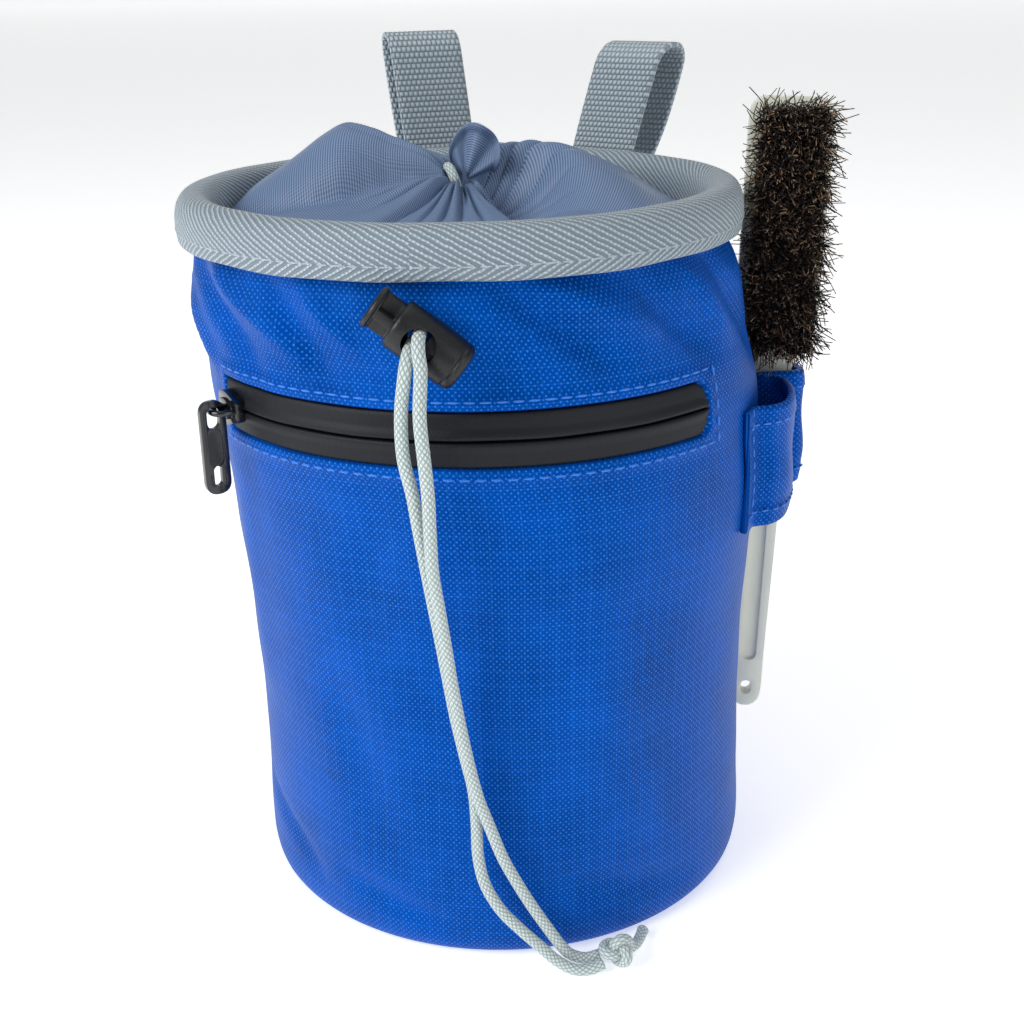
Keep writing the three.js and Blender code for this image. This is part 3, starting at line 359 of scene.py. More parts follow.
class Recipe:
    """A material being put together, with short calls for the nodes that many materials share."""

    def __init__(self, name):
        self.material = bpy.data.materials.new(name)
        self.material.use_nodes = True
        self.tree = self.material.node_tree
        self.tree.nodes.clear()

    def place(self):
        return add(self.tree, "ShaderNodeTexCoord", out="Object")

    def millimetres(self):
        """The piece's own map, in millimetres: across or round it, then along it."""
        place = add(self.tree, "ShaderNodeUVMap", uv_map="UVMap")
        big = add(self.tree, "ShaderNodeVectorMath", {0: place, 3: 1000.0}, operation="SCALE")
        split = self.tree.nodes.new("ShaderNodeSeparateXYZ")
        self.tree.links.new(big, split.inputs[0])
        return big, split.outputs[0], split.outputs[1]

    def work(self, operation, *feeds, clamp=False):
        """One step of arithmetic."""
        return add(self.tree, "ShaderNodeMath", feeds, operation=operation, use_clamp=clamp)

    def times(self, first, second, clamp=False):
        return self.work("MULTIPLY", first, second, clamp=clamp)

    def plus(self, first, second, clamp=False):
        return self.work("ADD", first, second, clamp=clamp)

    def wave(self, value, pitch):
        """A sine that comes again after each pitch."""
        return self.work("SINE", self.times(value, 2 * math.pi / pitch))

    def ridges(self, value, power):
        """A rounded ridge over each whole number."""
        part = self.work("FRACT", value)
        return self.work("POWER", self.work("SINE", self.times(part, math.pi)), power)

    def ramp(self, value, low, high, start=0.0, end=1.0, smooth=False):
        kind = "SMOOTHSTEP" if smooth else "LINEAR"
        return add(self.tree, "ShaderNodeMapRange", (value, low, high, start, end), interpolation_type=kind)

    def noise(self, place, scale, detail=2.0, roughness=0.5):
        feeds = {"Vector": place, "Scale": scale, "Detail": detail, "Roughness": roughness}
        return add(self.tree, "ShaderNodeTexNoise", feeds)

    def blend(self, share, first, second):
        """A colour between two, which are plain colours or sockets."""
        first, second = (c if isinstance(c, bpy.types.NodeSocket) else opaque(c) for c in (first, second))
        return add(self.tree, "ShaderNodeMix", {0: share, 6: first, 7: second}, out=2, data_type="RGBA")

    def close(self, tone, roughness, height=None, depth_mm=0.1, strength=1.0, **more):
        """The shader, with a bump from a height: more holds its other inputs, with _ for a space."""
        feeds = {"Base Color": tone, "Roughness": roughness}
        feeds.update((key.replace("_", " "), value) for key, value in more.items())
        if height is not None:
            bump = {"Strength": strength, "Distance": depth_mm * MM, "Height": height}
            feeds["Normal"] = add(self.tree, "ShaderNodeBump", bump, out="Normal")
        shader = add(self.tree, "ShaderNodeBsdfPrincipled", feeds)
        add(self.tree, "ShaderNodeOutputMaterial", {"Surface": shader})
        return self.material


def woven_nylon():
    """Solution-dyed nylon with a ripstop grid, woven: small threads on a deep blue, with painted highlight on
    their crests and on the grid, and blotches of painted shade.
    """
    to = Recipe("woven_ripstop_nylon")
    place, across, along = to.millimetres()
    # Threads lie 0.25 mm apart in the real cloth: drawn at 0.7 mm, so that they show.
    over = to.times(to.wave(across, 1.4), to.wave(along, 1.4))
    shown = to.ramp(over, 0.3, 0.95, smooth=True)
    # Every 3.6 mm a doubled thread makes the grid that stops a tear.
    cells = [to.work("PINGPONG", run, 1.8) for run in (across, along)]
    grid = to.work("MAXIMUM", *(to.ramp(cell, 0.0, 0.22, 1.0, 0.0, smooth=True) for cell in cells))
    # Painted shade: large random blotches darken the shell colour, down to 0.62 of it.
    painted_shade_blotch, thread = to.noise(place, 0.05, 4.0, 0.6), to.noise(place, 1.3, 2.0, 0.6)
    # Painted highlight: the threads' crests and the grid lines are lightened toward the shell's thread
    # colour.
    crest_highlight = to.times(shown, to.ramp(thread, 0.3, 0.7, 0.3, 0.95))
    lit = to.plus(crest_highlight, to.times(grid, 0.12), clamp=True)
    base = to.blend(to.ramp(painted_shade_blotch, 0.3, 0.7), dim(paint().shell, 0.62), paint().shell)
    return to.close(
        to.blend(lit, base, paint().shell_crest_highlight), to.ramp(shown, 0.0, 1.0, 0.5, 0.34),
        to.plus(shown, to.times(grid, 0.6)), 0.09, 0.8,
        Specular_IOR_Level=0.22, Specular_Tint=opaque(paint().shell_crest_highlight),
    )


def sewing_thread(name, value):
    """Twisted polyester thread, laid in short stitches: a lighter tone with a slight gloss."""
    to = Recipe(name)
    feeds = {"Vector": to.place(), "Scale": 900.0, "Distortion": 1.0}
    twist = add(to.tree, "ShaderNodeTexWave", feeds, out="Fac", bands_direction="DIAGONAL")
    # Painted shade: the twist's grooves are darkened to 0.7 of the thread colour.
    return to.close(to.blend(twist, dim(value, 0.7), value), 0.5, twist, 0.05, Sheen_Weight=0.2)


def twill_webbing():
    """Polyester webbing woven in herringbone: slanted ribs of short threads, with painted shade between them,
    for the rim.
    """
    to = Recipe("herringbone_webbing")
    place, across, along = to.millimetres()
    # The ribs lie at 60 degrees and turn where the map's second value is 0, low on the outer face.
    slope = to.work("ABSOLUTE", along)
    drift = to.ramp(to.noise(place, 0.35, 3.0), 0.0, 1.0, -0.35, 0.35)
    rib = to.plus(to.plus(to.times(across, 0.5), to.times(slope, 0.866)), drift)
    run = to.plus(to.times(across, 0.866), to.times(slope, -0.5))
    rib_pitch, bead_pitch = 1.15, 0.95
    crown = to.ramp(to.wave(rib, rib_pitch), -0.75, 0.75, smooth=True)
    # Neighbouring ribs are half a thread out of step.
    shift = to.times(to.work("FLOOR", to.times(rib, 1 / rib_pitch)), 0.5)
    beads = to.wave(to.plus(to.times(run, 1 / bead_pitch), shift), 1)
    height = to.times(crown, to.ramp(beads, -1.0, 0.6, 0.55, 1.0, smooth=True))
    # Painted shade: the low places between ribs and beads are darkened toward the gap colour.
    tone = to.blend(height, paint().binding_gap_shade, paint().binding)
    return to.close(tone, 0.6, height, 0.42, Sheen_Weight=0.25, Sheen_Roughness=0.5)


def plain_webbing():
    """Heavy polyester webbing in a plain weave: rows of round threads like small pillows, for the loops."""
    to = Recipe("plain_weave_webbing")
    place, across, along = to.millimetres()
    row = to.times(along, 1 / 1.45)
    column = to.plus(to.times(across, 1 / PILLOW), to.times(to.work("FLOOR", row), 0.5))
    height = to.times(to.ridges(row, 0.55), to.ridges(column, 0.55))
    shade = to.times(height, to.ramp(to.noise(place, 0.6, 3.0), 0.25, 0.75, 0.86, 1.06), clamp=True)
    # Painted shade: the low places between the threads are darkened toward the gap colour, with a little
    # random tone.
    tone = to.blend(shade, paint().webbing_gap_shade, paint().webbing)
    return to.close(tone, 0.62, height, 0.5, Sheen_Weight=0.2)


def silky_twill():
    """Light polyester taffeta with fine parallel lines: pale blue-grey, silky, shaded in its folds, with
    painted highlight on the lines' crests.
    """
    to = Recipe("silky_lining_taffeta")
    _, across, along = to.millimetres()
    shown = to.ramp(to.plus(to.wave(along, 0.62), to.times(to.wave(across, 0.75), 0.35)), -1.2, 1.2)
    # Painted highlight: the lines' crests are lightened toward the lining's thread colour.
    return to.close(
        to.blend(shown, paint().lining, paint().lining_crest_highlight), 0.4, shown, 0.07, Sheen_Weight=0.12,
        Sheen_Roughness=0.3, Sheen_Tint=opaque(paint().lining_crest_highlight), Specular_IOR_Level=0.4,
    )


def coated_tape():
    """Zip tape with a matt polyurethane coating: fine slanted grain, nearly black blue."""
    to = Recipe("coated_zip_tape")
    place, across, along = to.millimetres()
    grain = to.wave(to.plus(to.times(across, 0.45), along), 0.6)
    speck = to.noise(place, 2.2, 3.0)
    tone = to.blend(speck, paint().zip_tape, dim(paint().zip_tape, 1.8))
    return to.close(tone, 0.5, to.plus(to.times(grain, 0.3), speck), 0.05, Specular_IOR_Level=0.3)


def lacquered_zinc():
    """Die-cast zinc under black lacquer: deep gloss with faint casting waves."""
    to = Recipe("lacquered_zinc")
    wave = to.noise(to.place(), 420.0)
    tone = to.blend(wave, paint().lacquer, dim(paint().lacquer, 1.8))
    return to.close(
        tone, to.ramp(wave, 0.3, 0.7, 0.16, 0.3), wave, 0.03,
        Metallic=0.35, Coat_Weight=0.8, Coat_Roughness=0.1,
    )


def moulded_acetal(name, value, roughness):
    """Acetal moulded in a spark-eroded tool: near black, satin, with a fine even grain."""
    to = Recipe(name)
    place = to.place()
    grain, cloud = to.noise(place, 2600.0), to.noise(place, 160.0)
    rough = to.ramp(grain, 0.2, 0.8, roughness, roughness + 0.14)
    return to.close(to.blend(cloud, value, dim(value, 1.7)), rough, grain, 0.05, Specular_IOR_Level=0.5)


def braided_cord():
    """Braided polyester cord: two sets of strands crossing, pale grey, with painted shade between the
    strands.
    """
    to = Recipe("braided_drawcord")
    _, around, along = to.millimetres()
    strands = [
        to.ridges(to.plus(to.times(around, sign / BRAID), to.times(along, 1 / 1.5)), 0.6) for sign in (1, -1)
    ]
    height = to.times(*strands)
    # Painted shade: the low places between the strands are darkened toward the gap colour.
    return to.close(to.blend(height, paint().cord_gap_shade, paint().cord), 0.6, height, 0.22, Sheen_Weight=0.25)


def milky_polypropylene():
    """Polypropylene moulded thin: milky white, lets some light through, edges a little warmer."""
    to = Recipe("milky_polypropylene")
    place = to.place()
    cloud, fine = to.noise(place, 60.0, 3.0), to.noise(place, 900.0)
    return to.close(
        to.blend(cloud, dim(paint().handle, 0.86), paint().handle),
        to.ramp(fine, 0.2, 0.8, 0.28, 0.42), fine, 0.02,
        Subsurface_Weight=0.35, Subsurface_Radius=(1.0, 0.9, 0.7), Subsurface_Scale=0.003,
        Transmission_Weight=0.12, Specular_IOR_Level=0.5,
    )


def stiff_bristle():
    """Stiff dark bristle with some light hairs among it: glossy along each hair."""
    to = Recipe("stiff_bristle")
    tint = add(to.tree, "ShaderNodeAttribute", out="Fac", attribute_name="tint")
    cloud = to.noise(to.place(), 700.0)
    tone = to.blend(to.ramp(tint, 0.7, 0.96), paint().bristle, paint().bristle_light)
    tone = to.blend(to.ramp(cloud, 0.3, 0.7, 0.0, 0.12), tone, dim(paint().bristle_light, 0.4))
    return to.close(tone, 0.42, cloud, 0.02)


def studio_paper():
    """Plain studio paper: pale and matt, lit a little from within so that it stays white."""
    to = Recipe("studio_paper")
    floor = opaque(bpy.context.scene.bag_stage.floor)
    return to.close(floor, 0.95, Emission_Color=(1, 1, 1, 1), Emission_Strength=0.48)


FINISHES = {
    "shell": woven_nylon,
    "stitch": lambda: sewing_thread("polyester_thread", tuple(paint().stitch)),
    "grey_stitch": lambda: sewing_thread("grey_polyester_thread", tuple(paint().binding)),
    "binding": twill_webbing,
    "webbing": plain_webbing,
    "lining": silky_twill,
    "zip": coated_tape,
    "lacquer": lacquered_zinc,
    "lock": lambda: moulded_acetal("moulded_acetal", tuple(paint().lock), 0.34),
    "cord": braided_cord,
    "handle": milky_polypropylene,
    "bristle": stiff_bristle,
    "floor": studio_paper,
}
made_finishes = {}


def placed(name, data):
    """A new object in the scene."""
    made = bpy.data.objects.new(name, data)
    bpy.context.scene.collection.objects.link(made)
    return made


def settled(carrier):
    """The plain mesh of an object as its modifiers leave it. The object goes."""
    evaluated = carrier.evaluated_get(bpy.context.evaluated_depsgraph_get())
    result = bpy.data.meshes.new_from_object(evaluated)
    bpy.data.objects.remove(carrier)
    return result


def smooth(mesh, sharp_past=None):
    """Shades a mesh smooth, but for edges sharper than an angle in degrees."""
    mesh.polygons.foreach_set("use_smooth", [True] * len(mesh.polygons))
    if sharp_past:
        mesh.set_sharp_from_angle(angle=math.radians(sharp_past))
    return mesh


def moved(mesh, x=0.0, y=0.0, z=0.0):
    """A mesh shifted by millimetres."""
    mesh.transform(Matrix.Translation((x * MM, y * MM, z * MM)))
    return mesh


def joined(name, *parts):
    """One mesh from several."""
    whole = bmesh.new()
    for part in parts:
        whole.from_mesh(part)
    mesh = bpy.data.meshes.new(name)
    whole.to_mesh(mesh)
    whole.free()
    return mesh


def finish(kind):
    if kind not in made_finishes:
        made_finishes[kind] = FINISHES[kind]()
    return made_finishes[kind]


def show(mesh, name, kind, body="bag", nodes=()):
    """Puts a finished mesh in the scene: its material, its body and the nodes that it stands for."""
    piece = placed(name, mesh)
    mesh.materials.clear()
    mesh.materials.append(finish(kind))
    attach(piece, body)
    if nodes:
        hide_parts(*nodes)
    return piece


def outward(mesh):
    """Turns a closed mesh right side out."""
    mesh.calc_loop_triangles()
    corners = np.empty(len(mesh.vertices) * 3)
    mesh.vertices.foreach_get("co", corners)
    corners = corners.reshape(-1, 3)
    faces = np.empty(len(mesh.loop_triangles) * 3, dtype=int)
    mesh.loop_triangles.foreach_get("vertices", faces)
    a, b, c = corners[faces.reshape(-1, 3)].transpose(1, 0, 2)
    if np.einsum("ij,ij->i", a, np.cross(b, c)).sum() < 0:
        mesh.flip_normals()
    return mesh


def skin(name, rows, across, along, wrap=False, ends="open"):
    """A smooth mesh over a grid of points in millimetres: rows run along, and each row runs across or round.
    across and along are the map's values in millimetres, one column more than points where a row closes.
    ends is open, capped (a point in the middle of each end) or joined (the last row meets the first)."""
    rows = np.asarray(rows, float)
    count, wide = rows.shape[:2]
    points = rows.reshape(-1, 3)
    spans = count if ends == "joined" else count - 1
    i, j = np.meshgrid(np.arange(spans), np.arange(wide if wrap else wide - 1), indexing="ij")
    i, j = i.ravel(), j.ravel()
    after, below = (j + 1) % wide, (i + 1) % count
    faces = np.stack([i * wide + j, i * wide + after, below * wide + after, below * wide + j], 1)
    across = np.broadcast_to(across, (spans + 1, wide + 1 if wrap else wide))
    along = np.broadcast_to(along, across.shape)
    grid = np.stack([across, along], -1)
    corners = np.stack([grid[i, j], grid[i, j + 1], grid[i + 1, j + 1], grid[i + 1, j]], 1)
    polygons = faces.tolist()
    maps = corners.reshape(-1, 2).tolist()
    if ends == "capped":
        for row in (0, count - 1):
            middle = len(points)
            points = np.vstack([points, rows[row].mean(0)])
            for k in range(wide):
                ring = [row * wide + k, row * wide + (k + 1) % wide]
                polygons.append([middle, *(ring[::-1] if row == 0 else ring)])
                maps.extend(points[v][:2].tolist() for v in polygons[-1])
    mesh = bpy.data.meshes.new(name)
    mesh.from_pydata((points * MM).tolist(), [], polygons)
    layer = mesh.uv_layers.new(name="UVMap")
    layer.data.foreach_set("uv", (np.array(maps) * MM).ravel())
    smooth(mesh).update()
    if wrap and ends != "open":
        outward(mesh)
    return mesh


def transformed(mesh, matrix):
    """A mesh worked out in a frame of millimetres, put in its place."""
    mesh.transform(Matrix.Scale(MM, 4) @ matrix @ Matrix.Scale(1 / MM, 4))
    return mesh


def worked(mesh, *modifiers):
    """The plain mesh that modifiers make of one: each is (kind, settings)."""
    carrier = placed("carrier", mesh)
    for kind, settings in modifiers:
        modifier = carrier.modifiers.new(kind.lower(), kind)
        for key, value in settings.items():
            setattr(modifier, key, value)
    return settled(carrier)


def cut_out(mesh, *tools):
    """A mesh with closed tool meshes taken out of it."""
    for tool in tools:
        cutter = placed("cutter", tool)
        mesh = worked(mesh, ("BOOLEAN", {"object": cutter, "operation": "DIFFERENCE", "solver": "EXACT"}))
        bpy.data.objects.remove(cutter)
    return mesh


def plate(name, outline, thickness, holes=()):
    """A flat plate from an outline and holes in millimetres: it stands in x and z, and y runs through it."""
    curve = bpy.data.curves.new(name, "CURVE")
    curve.dimensions = "2D"
    curve.fill_mode = "BOTH"
    for ring in (outline, *holes):
        spline = curve.splines.new("POLY")
        spline.points.add(len(ring) - 1)
        spline.points.foreach_set("co", np.array([(x * MM, y * MM, 0, 1) for x, y in ring]).ravel())
        spline.use_cyclic_u = True
    curve.extrude = thickness * MM / 2
    mesh = settled(placed(name, curve))
    mesh.transform(Matrix.Rotation(math.pi / 2, 4, "X"))
    form = bmesh.new()
    form.from_mesh(mesh)
    bmesh.ops.remove_doubles(form, verts=form.verts, dist=1e-6)
    bmesh.ops.recalc_face_normals(form, faces=form.faces)
    form.to_mesh(mesh)
    form.free()
    return mesh


def rounded(width, tall, middle=(0.0, 0.0), steps=10, square=0.0):
    """A ring with round ends, taller than wide. square swells its ends toward their corners."""
    r = width / 2
    ring = []
    for centre, start in ((tall / 2 - r, 0.0), (r - tall / 2, math.pi)):
        for k in range(steps + 1):
            angle = start + math.pi * k / steps
            reach = r * (1 + square * math.sin(2 * angle) ** 2)
            ring.append((middle[0] + reach * math.cos(angle), middle[1] + centre + reach * math.sin(angle)))
    return ring


# Edges sharper than this, in degrees, are drawn sharp.
SHARP = 38


def soft_edges(mesh, width_mm, segments=3):
    """Rounds a mesh's sharp edges and shades it smooth."""
    bevel = {"width": width_mm * MM, "segments": segments, "limit_method": "ANGLE"}
    bevel["angle_limit"] = math.radians(32)
    return smooth(worked(mesh, ("BEVEL", bevel)), SHARP)


def lathed(name, outline, steps=64):
    """A turned piece round x: outline is (x, radius) in millimetres from one end to the other."""
    angles = np.linspace(0, 2 * math.pi, steps, endpoint=False)
    rows = [[(x, r * math.cos(a), r * math.sin(a)) for a in angles] for x, r in outline]
    run = np.linspace(0, 1, len(outline))[:, None]
    mesh = skin(name, rows, np.linspace(0, 30, steps + 1), 10 * run, wrap=True, ends="capped")
    mesh.set_sharp_from_angle(angle=math.radians(34))
    return mesh


def tube(name, centres, radius, sides=18, swell=None):
    """A round tube along points in millimetres, with a map that runs round and along it."""
    centres = np.asarray(centres, float)
    tangents = directions(centres)
    normal = np.cross(tangents[0], (0.3, 0.5, 0.8))
    normal /= np.linalg.norm(normal)
    rows = []
    angles = np.linspace(0, 2 * math.pi, sides, endpoint=False)
    for k, (centre, tangent) in enumerate(zip(centres, tangents)):
        normal = normal - tangent * (normal @ tangent)
        normal /= np.linalg.norm(normal)
        side = np.cross(tangent, normal)
        r = radius if swell is None else radius * swell[k]
        rows.append([centre + r * (math.cos(a) * normal + math.sin(a) * side) for a in angles])
    # The braid has eight strands round the cord, so the map's round length holds a whole number of them.
    around = np.linspace(0, 8 * BRAID, sides + 1)
    return skin(name, rows, around, run_of(centres)[:, None], wrap=True, ends="capped")


# The lining's folds round its throat. Each is a roll that starts there: angle from the front toward +X in
# degrees, half width and crest height in millimetres, at each distance from the throat in millimetres.
ROLLS = {
    "large_left": (0.62, [
        (4, -95, 1.6, 175), (8, -97, 2.8, 178.6), (13, -98, 4.6, 181), (17, -99, 6.5, 182.4),
        (22, -101, 10, 184.2), (28, -104, 15.5, 185), (34, -103, 18, 182.4), (40, -102, 19, 178.6),
        (46, -101, 18, 174.4), (52, -100, 18, 170), (57.5, -100, 18, 164.5)]),
    "under_left": (0.6, [
        (4, -70, 1.4, 173.5), (10, -70, 2.6, 173.6), (16, -68, 4.6, 172.4), (22, -67, 7.5, 171),
        (30, -66, 10, 169.3), (40, -65, 13, 167.2), (50, -65, 14, 165.4), (57.5, -65, 15, 163.5)]),
    "front_left": (0.5, [
        (4, -40, 1.5, 173.6), (8, -43, 3.1, 174.4), (12, -46, 4.7, 173.6), (17, -48, 6.3, 171.8),
        (24, -48, 7.6, 169.4), (34, -46, 9, 167), (45, -45, 10, 165.2), (57.5, -45, 12, 163.5)]),
    "front": (0.5, [
        (4, -4, 1.4, 173.2), (7, -6, 2.8, 173), (10, -7, 3.9, 171.8), (14, -8, 5.2, 170),
        (20, -9, 6.6, 168.2), (30, -10, 8.5, 166.6), (45, -10, 11, 165), (57.5, -10, 13, 163.5)]),
    "thin_front": (0.55, [
        (4, 34, 1.0, 173), (7, 33, 1.9, 172.2), (10, 31, 2.7, 170.8), (14, 29, 3.8, 169.2),
        (20, 28, 5.2, 167.6), (30, 27, 8, 166), (45, 27, 11, 164.8), (57.5, 27, 13, 163.5)]),
    "right_back": (0.8, [
        (20, 140, 5, 177), (26, 137, 9, 178.3), (34, 134, 12, 177), (42, 131, 14, 173.6),
        (50, 129, 15, 168.5), (57.5, 128, 15, 164)]),
    "back": (0.7, [
        (4, 178, 1.6, 174), (8, 174, 3.4, 176.5), (13, 171, 5.4, 178), (20, 169, 8.5, 178.6),
        (28, 168, 11, 177.8), (36, 167, 13, 175.8), (46, 166, 14, 171.4), (57.5, 165, 15, 164)]),
    "back_left": (0.6, [
        (4, 206, 1.5, 173.6), (9, 204, 3.4, 175.6), (15, 203, 5.6, 176.6), (24, 202, 8.5, 176.4),
        (34, 202, 11, 174.8), (44, 202, 12, 171), (57.5, 202, 13, 164)]),
    "left_back": (0.6, [
        (4, 232, 1.5, 174.4), (9, 231, 3.6, 177.4), (15, 230, 6, 179.2), (24, 229, 9.5, 180),
        (34, 228, 12, 179), (44, 227, 13, 174.6), (57.5, 227, 14, 165)]),
}
# The bowl at the right: at each angle its crest's distance and height, and the hollow's height inside it.
BOWL = np.array([
    (40, 35, 164.6, 164.4), (55, 33, 166.0, 164.6), (68, 30.5, 168.2, 164.6), (78, 28.5, 173.2, 164.2),
    (88, 26.5, 177.4, 163.8), (100, 24, 179.8, 163.6), (112, 21.5, 180.6, 163.8), (130, 18, 180.4, 165),
    (148, 15, 179.8, 168), (163, 13, 179, 171.5), (176, 11.5, 176.6, 173), (190, 10, 174, 172.5),
])
THROAT_Z = 172.2
# How far from the throat the lining goes under the rim webbing.
CLOSURE_REACH = 57.5


def closure_height(angle, away):
    """How high the lining stands, in millimetres, by angle and distance from the throat."""
    height = 163.6 + 5.4 * (1 - step(8, 46, away)) - 0.8 * step(50, 57, away)
    facing = turn(0, angle - 115) + 115
    crest, tall, low = (np.interp(facing, BOWL[:, 0], BOWL[:, k]) for k in (1, 2, 3))
    within = step(34, 50, facing) * (1 - step(184, 200, facing))
    dip = np.clip((away - 3.6) / (0.42 * crest - 3.6), 0, 1)
    rise = np.clip((away - 0.42 * crest) / (0.58 * crest), 0, 1)
    inside = THROAT_Z + (low - THROAT_Z) * dip * dip * (3 - 2 * dip) + (tall - low) * rise**1.7
    fall = np.clip((away - crest) / (CLOSURE_REACH - crest), 0, 1)
    outside = 163.4 + (tall - 163.4) * (1 - fall**1.5) ** 1.3
    bowl = np.where(away < crest, inside, outside)
    # The crest is a soft lip, not an edge.
    bowl = bowl - 1.1 * np.exp(-(((away - crest) / 2.2) ** 2)) * step(166, 174, tall)
    height = np.where(within > 0, height + (bowl - height) * within, height)
    for bluntness, stations in ROLLS.values():
        reach, axis, half, top = np.array(stations, float).T
        middle = np.interp(away, reach, axis)
        sideways = away * np.radians(turn(middle, angle))
        share = np.clip(1 - (sideways / np.interp(away, reach, half)) ** 2, 0, 1)
        started = step(reach[0] - 1, reach[0] + 6, away) if reach[0] > 10 else 1
        roll = height + (eased(reach, top, away) - height) * share**bluntness * started
        height = np.maximum(height, roll)
    pleats = np.sin(np.radians(17 * angle) + 1.5 * np.sin(np.radians(3 * angle))) * np.exp(-(away - 3) / 11)
    soft = np.sin(np.radians(5 * angle) + 0.12 * away) * np.sin(0.17 * away + np.radians(2 * angle))
    tucks = np.sin(np.radians(52 * angle) + 2 * np.sin(np.radians(4 * angle))) * step(46, 57, away)
    # Sharp valleys run out from the throat.
    sharp = 1 - np.abs(np.sin(np.radians(13 * angle) + 0.8 * np.sin(np.radians(5 * angle)) + 0.03 * away))
    valley = -2.2 * sharp**2.2 * step(3, 7, away) * (1 - step(15, 34, away))
    return height + valley + 0.6 * pleats + 0.5 * soft + 0.25 * tucks


class CHALKBAG_OT_shell(bpy.types.Operator):
    """Makes the bag's shell: a soft round bucket with dents, creases and a sunk place for the zip"""

    bl_idname = "chalkbag.shell"
    bl_label = "Shell"

    def execute(self, context):
        tall, middle = mm(size().height), mm(size().zip_height)
        half = mm(size().zip_width) / 2
        offsets = (-0.1, 0.05, 0.2, 0.35, 0.5, 0.8, 2.6, 3.1, 3.6)
        near = [middle + side * (half + offset) for side in (-1, 1) for offset in offsets]
        levels = np.unique(np.round(np.concatenate([
            [0.25, 0.6, 1.1, 1.8, 2.6], np.arange(3.6, tall - 5, 1.55), near, [tall - 3]]), 3))
        levels = levels[np.concatenate([[True], np.diff(levels) > 0.09])]
        ends = np.concatenate([np.arange(ZIP_END - 3.7, ZIP_END + 2.5, 0.25), np.arange(-53.4, -51.4, 0.25)])
        angles = np.unique(np.round(np.concatenate([np.arange(-180, 180, 1.3), ends]), 3))
        angles = angles[np.concatenate([[True], np.diff(angles) > 0.2])]
        grid_z, grid_a = np.meshgrid(levels, angles, indexing="ij")
        edge = zip_edge(grid_a, grid_z)
        sunk = -1.35 * (1 - step(-0.25, 0.25, edge))
        hem = 0.4 * step(0.1, 0.7, edge) * (1 - step(2.7, 3.3, edge))
        outside = wall(grid_a, grid_z, sunk + hem)
        foot = wall(angles, levels[0])
        shares = (0.03, 0.3, 0.6, 0.8, 0.92, 0.975)
        base = [foot * (share, share, 0) + (0, 0, 0.02 + 0.23 * share**12) for share in shares]
        inner = [wall(angles, z, -mm(size().wall)) for z in np.arange(tall - 3, 6, -9.0)]
        floor = [foot * (share, share, 0) + (0, 0, 3.0) for share in (0.9, 0.5, 0.03)]
        rows = [*base, *outside, *inner, *floor]
        turned = np.append(angles, angles[0] + 360)
        flat_rows = len(base)
        across = np.broadcast_to(ZIP_RADIUS * np.radians(turned), (len(rows), len(turned))).copy()
        unseen = np.arange(len(rows) - flat_rows - len(levels)) * 9.0
        along = np.concatenate([np.zeros(flat_rows), levels, unseen])[:, None]
        along = np.broadcast_to(along, across.shape).copy()
        for k in range(flat_rows):
            closed = np.vstack([base[k], base[k][:1]])
            across[k], along[k] = closed[:, 0], closed[:, 1]
        mesh = skin("shell", rows, across, along, wrap=True, ends="capped")
        show(mesh, "shell", "shell", nodes=("bag_body",))
        return {"FINISHED"}


class CHALKBAG_OT_binding(bpy.types.Operator):
    """Makes the webbing that is folded over the rim, with its ribs"""

    bl_idname = "chalkbag.binding"
    bl_label = "Rim binding"

    def execute(self, context):
        top, radius = mm(size().height), mm(size().rim_diameter) / 2
        deep = mm(size().binding_height)
        # Distance from the rim's centre and height below the top, from the outer lower edge over the fold.
        outline = [
            (-2.1, -deep + 0.1), (-1.2, -deep - 0.05), (-0.45, -deep + 0.25), (-0.1, -deep + 1.4),
            (0.05, -deep + 4.5), (0.0, -5.2), (-0.25, -3.6), (-0.8, -2.1), (-1.7, -0.9), (-3.0, -0.2),
            (-4.6, 0.0), (-6.2, -0.3), (-7.5, -1.1), (-8.4, -2.4), (-8.8, -4.2), (-8.9, -7.0),
            (-8.9, -deep + 1.2), (-8.5, -deep + 0.5), (-7.6, -deep + 0.5), (-7.3, -deep + 1.5),
            (-7.0, -3.4), (-4.4, -2.6), (-4.1, -4.5), (-2.9, -deep + 3),
        ]
        section = through(outline, 84, closed=True)
        run = run_of(np.vstack([section, section[:1]]))
        fold = run[np.argmin(np.hypot(section[:, 0] + 0.05, section[:, 1] + 7.9))]
        angles = np.arange(0, 360, 0.9)
        waves = 0.25 * np.sin(np.radians(7 * angles) + 1) + 0.18 * np.sin(np.radians(16 * angles))
        rows = []
        for angle, wave in zip(angles, waves):
            outer = step(-4, -0.5, section[:, 0])
            low = step(-6, -deep, section[:, 1])
            away = radius + section[:, 0] + 0.35 * wave * outer * low
            height = top + section[:, 1] + 0.5 * wave * low * outer + 0.2 * wave
            x = lean()[0] + away * math.sin(math.radians(angle))
            y = lean()[1] - away * math.cos(math.radians(angle))
            rows.append(np.stack([x, y, height], -1))
        spans = len(angles) + 1
        across = np.broadcast_to(62.5 * np.radians(np.append(angles, 360))[:, None], (spans, 85))
        mesh = skin("binding", rows, across, (run - fold)[None, :], wrap=True, ends="joined")
        show(mesh, "rim_webbing", "binding", nodes=("rim_binding",))
        return {"FINISHED"}


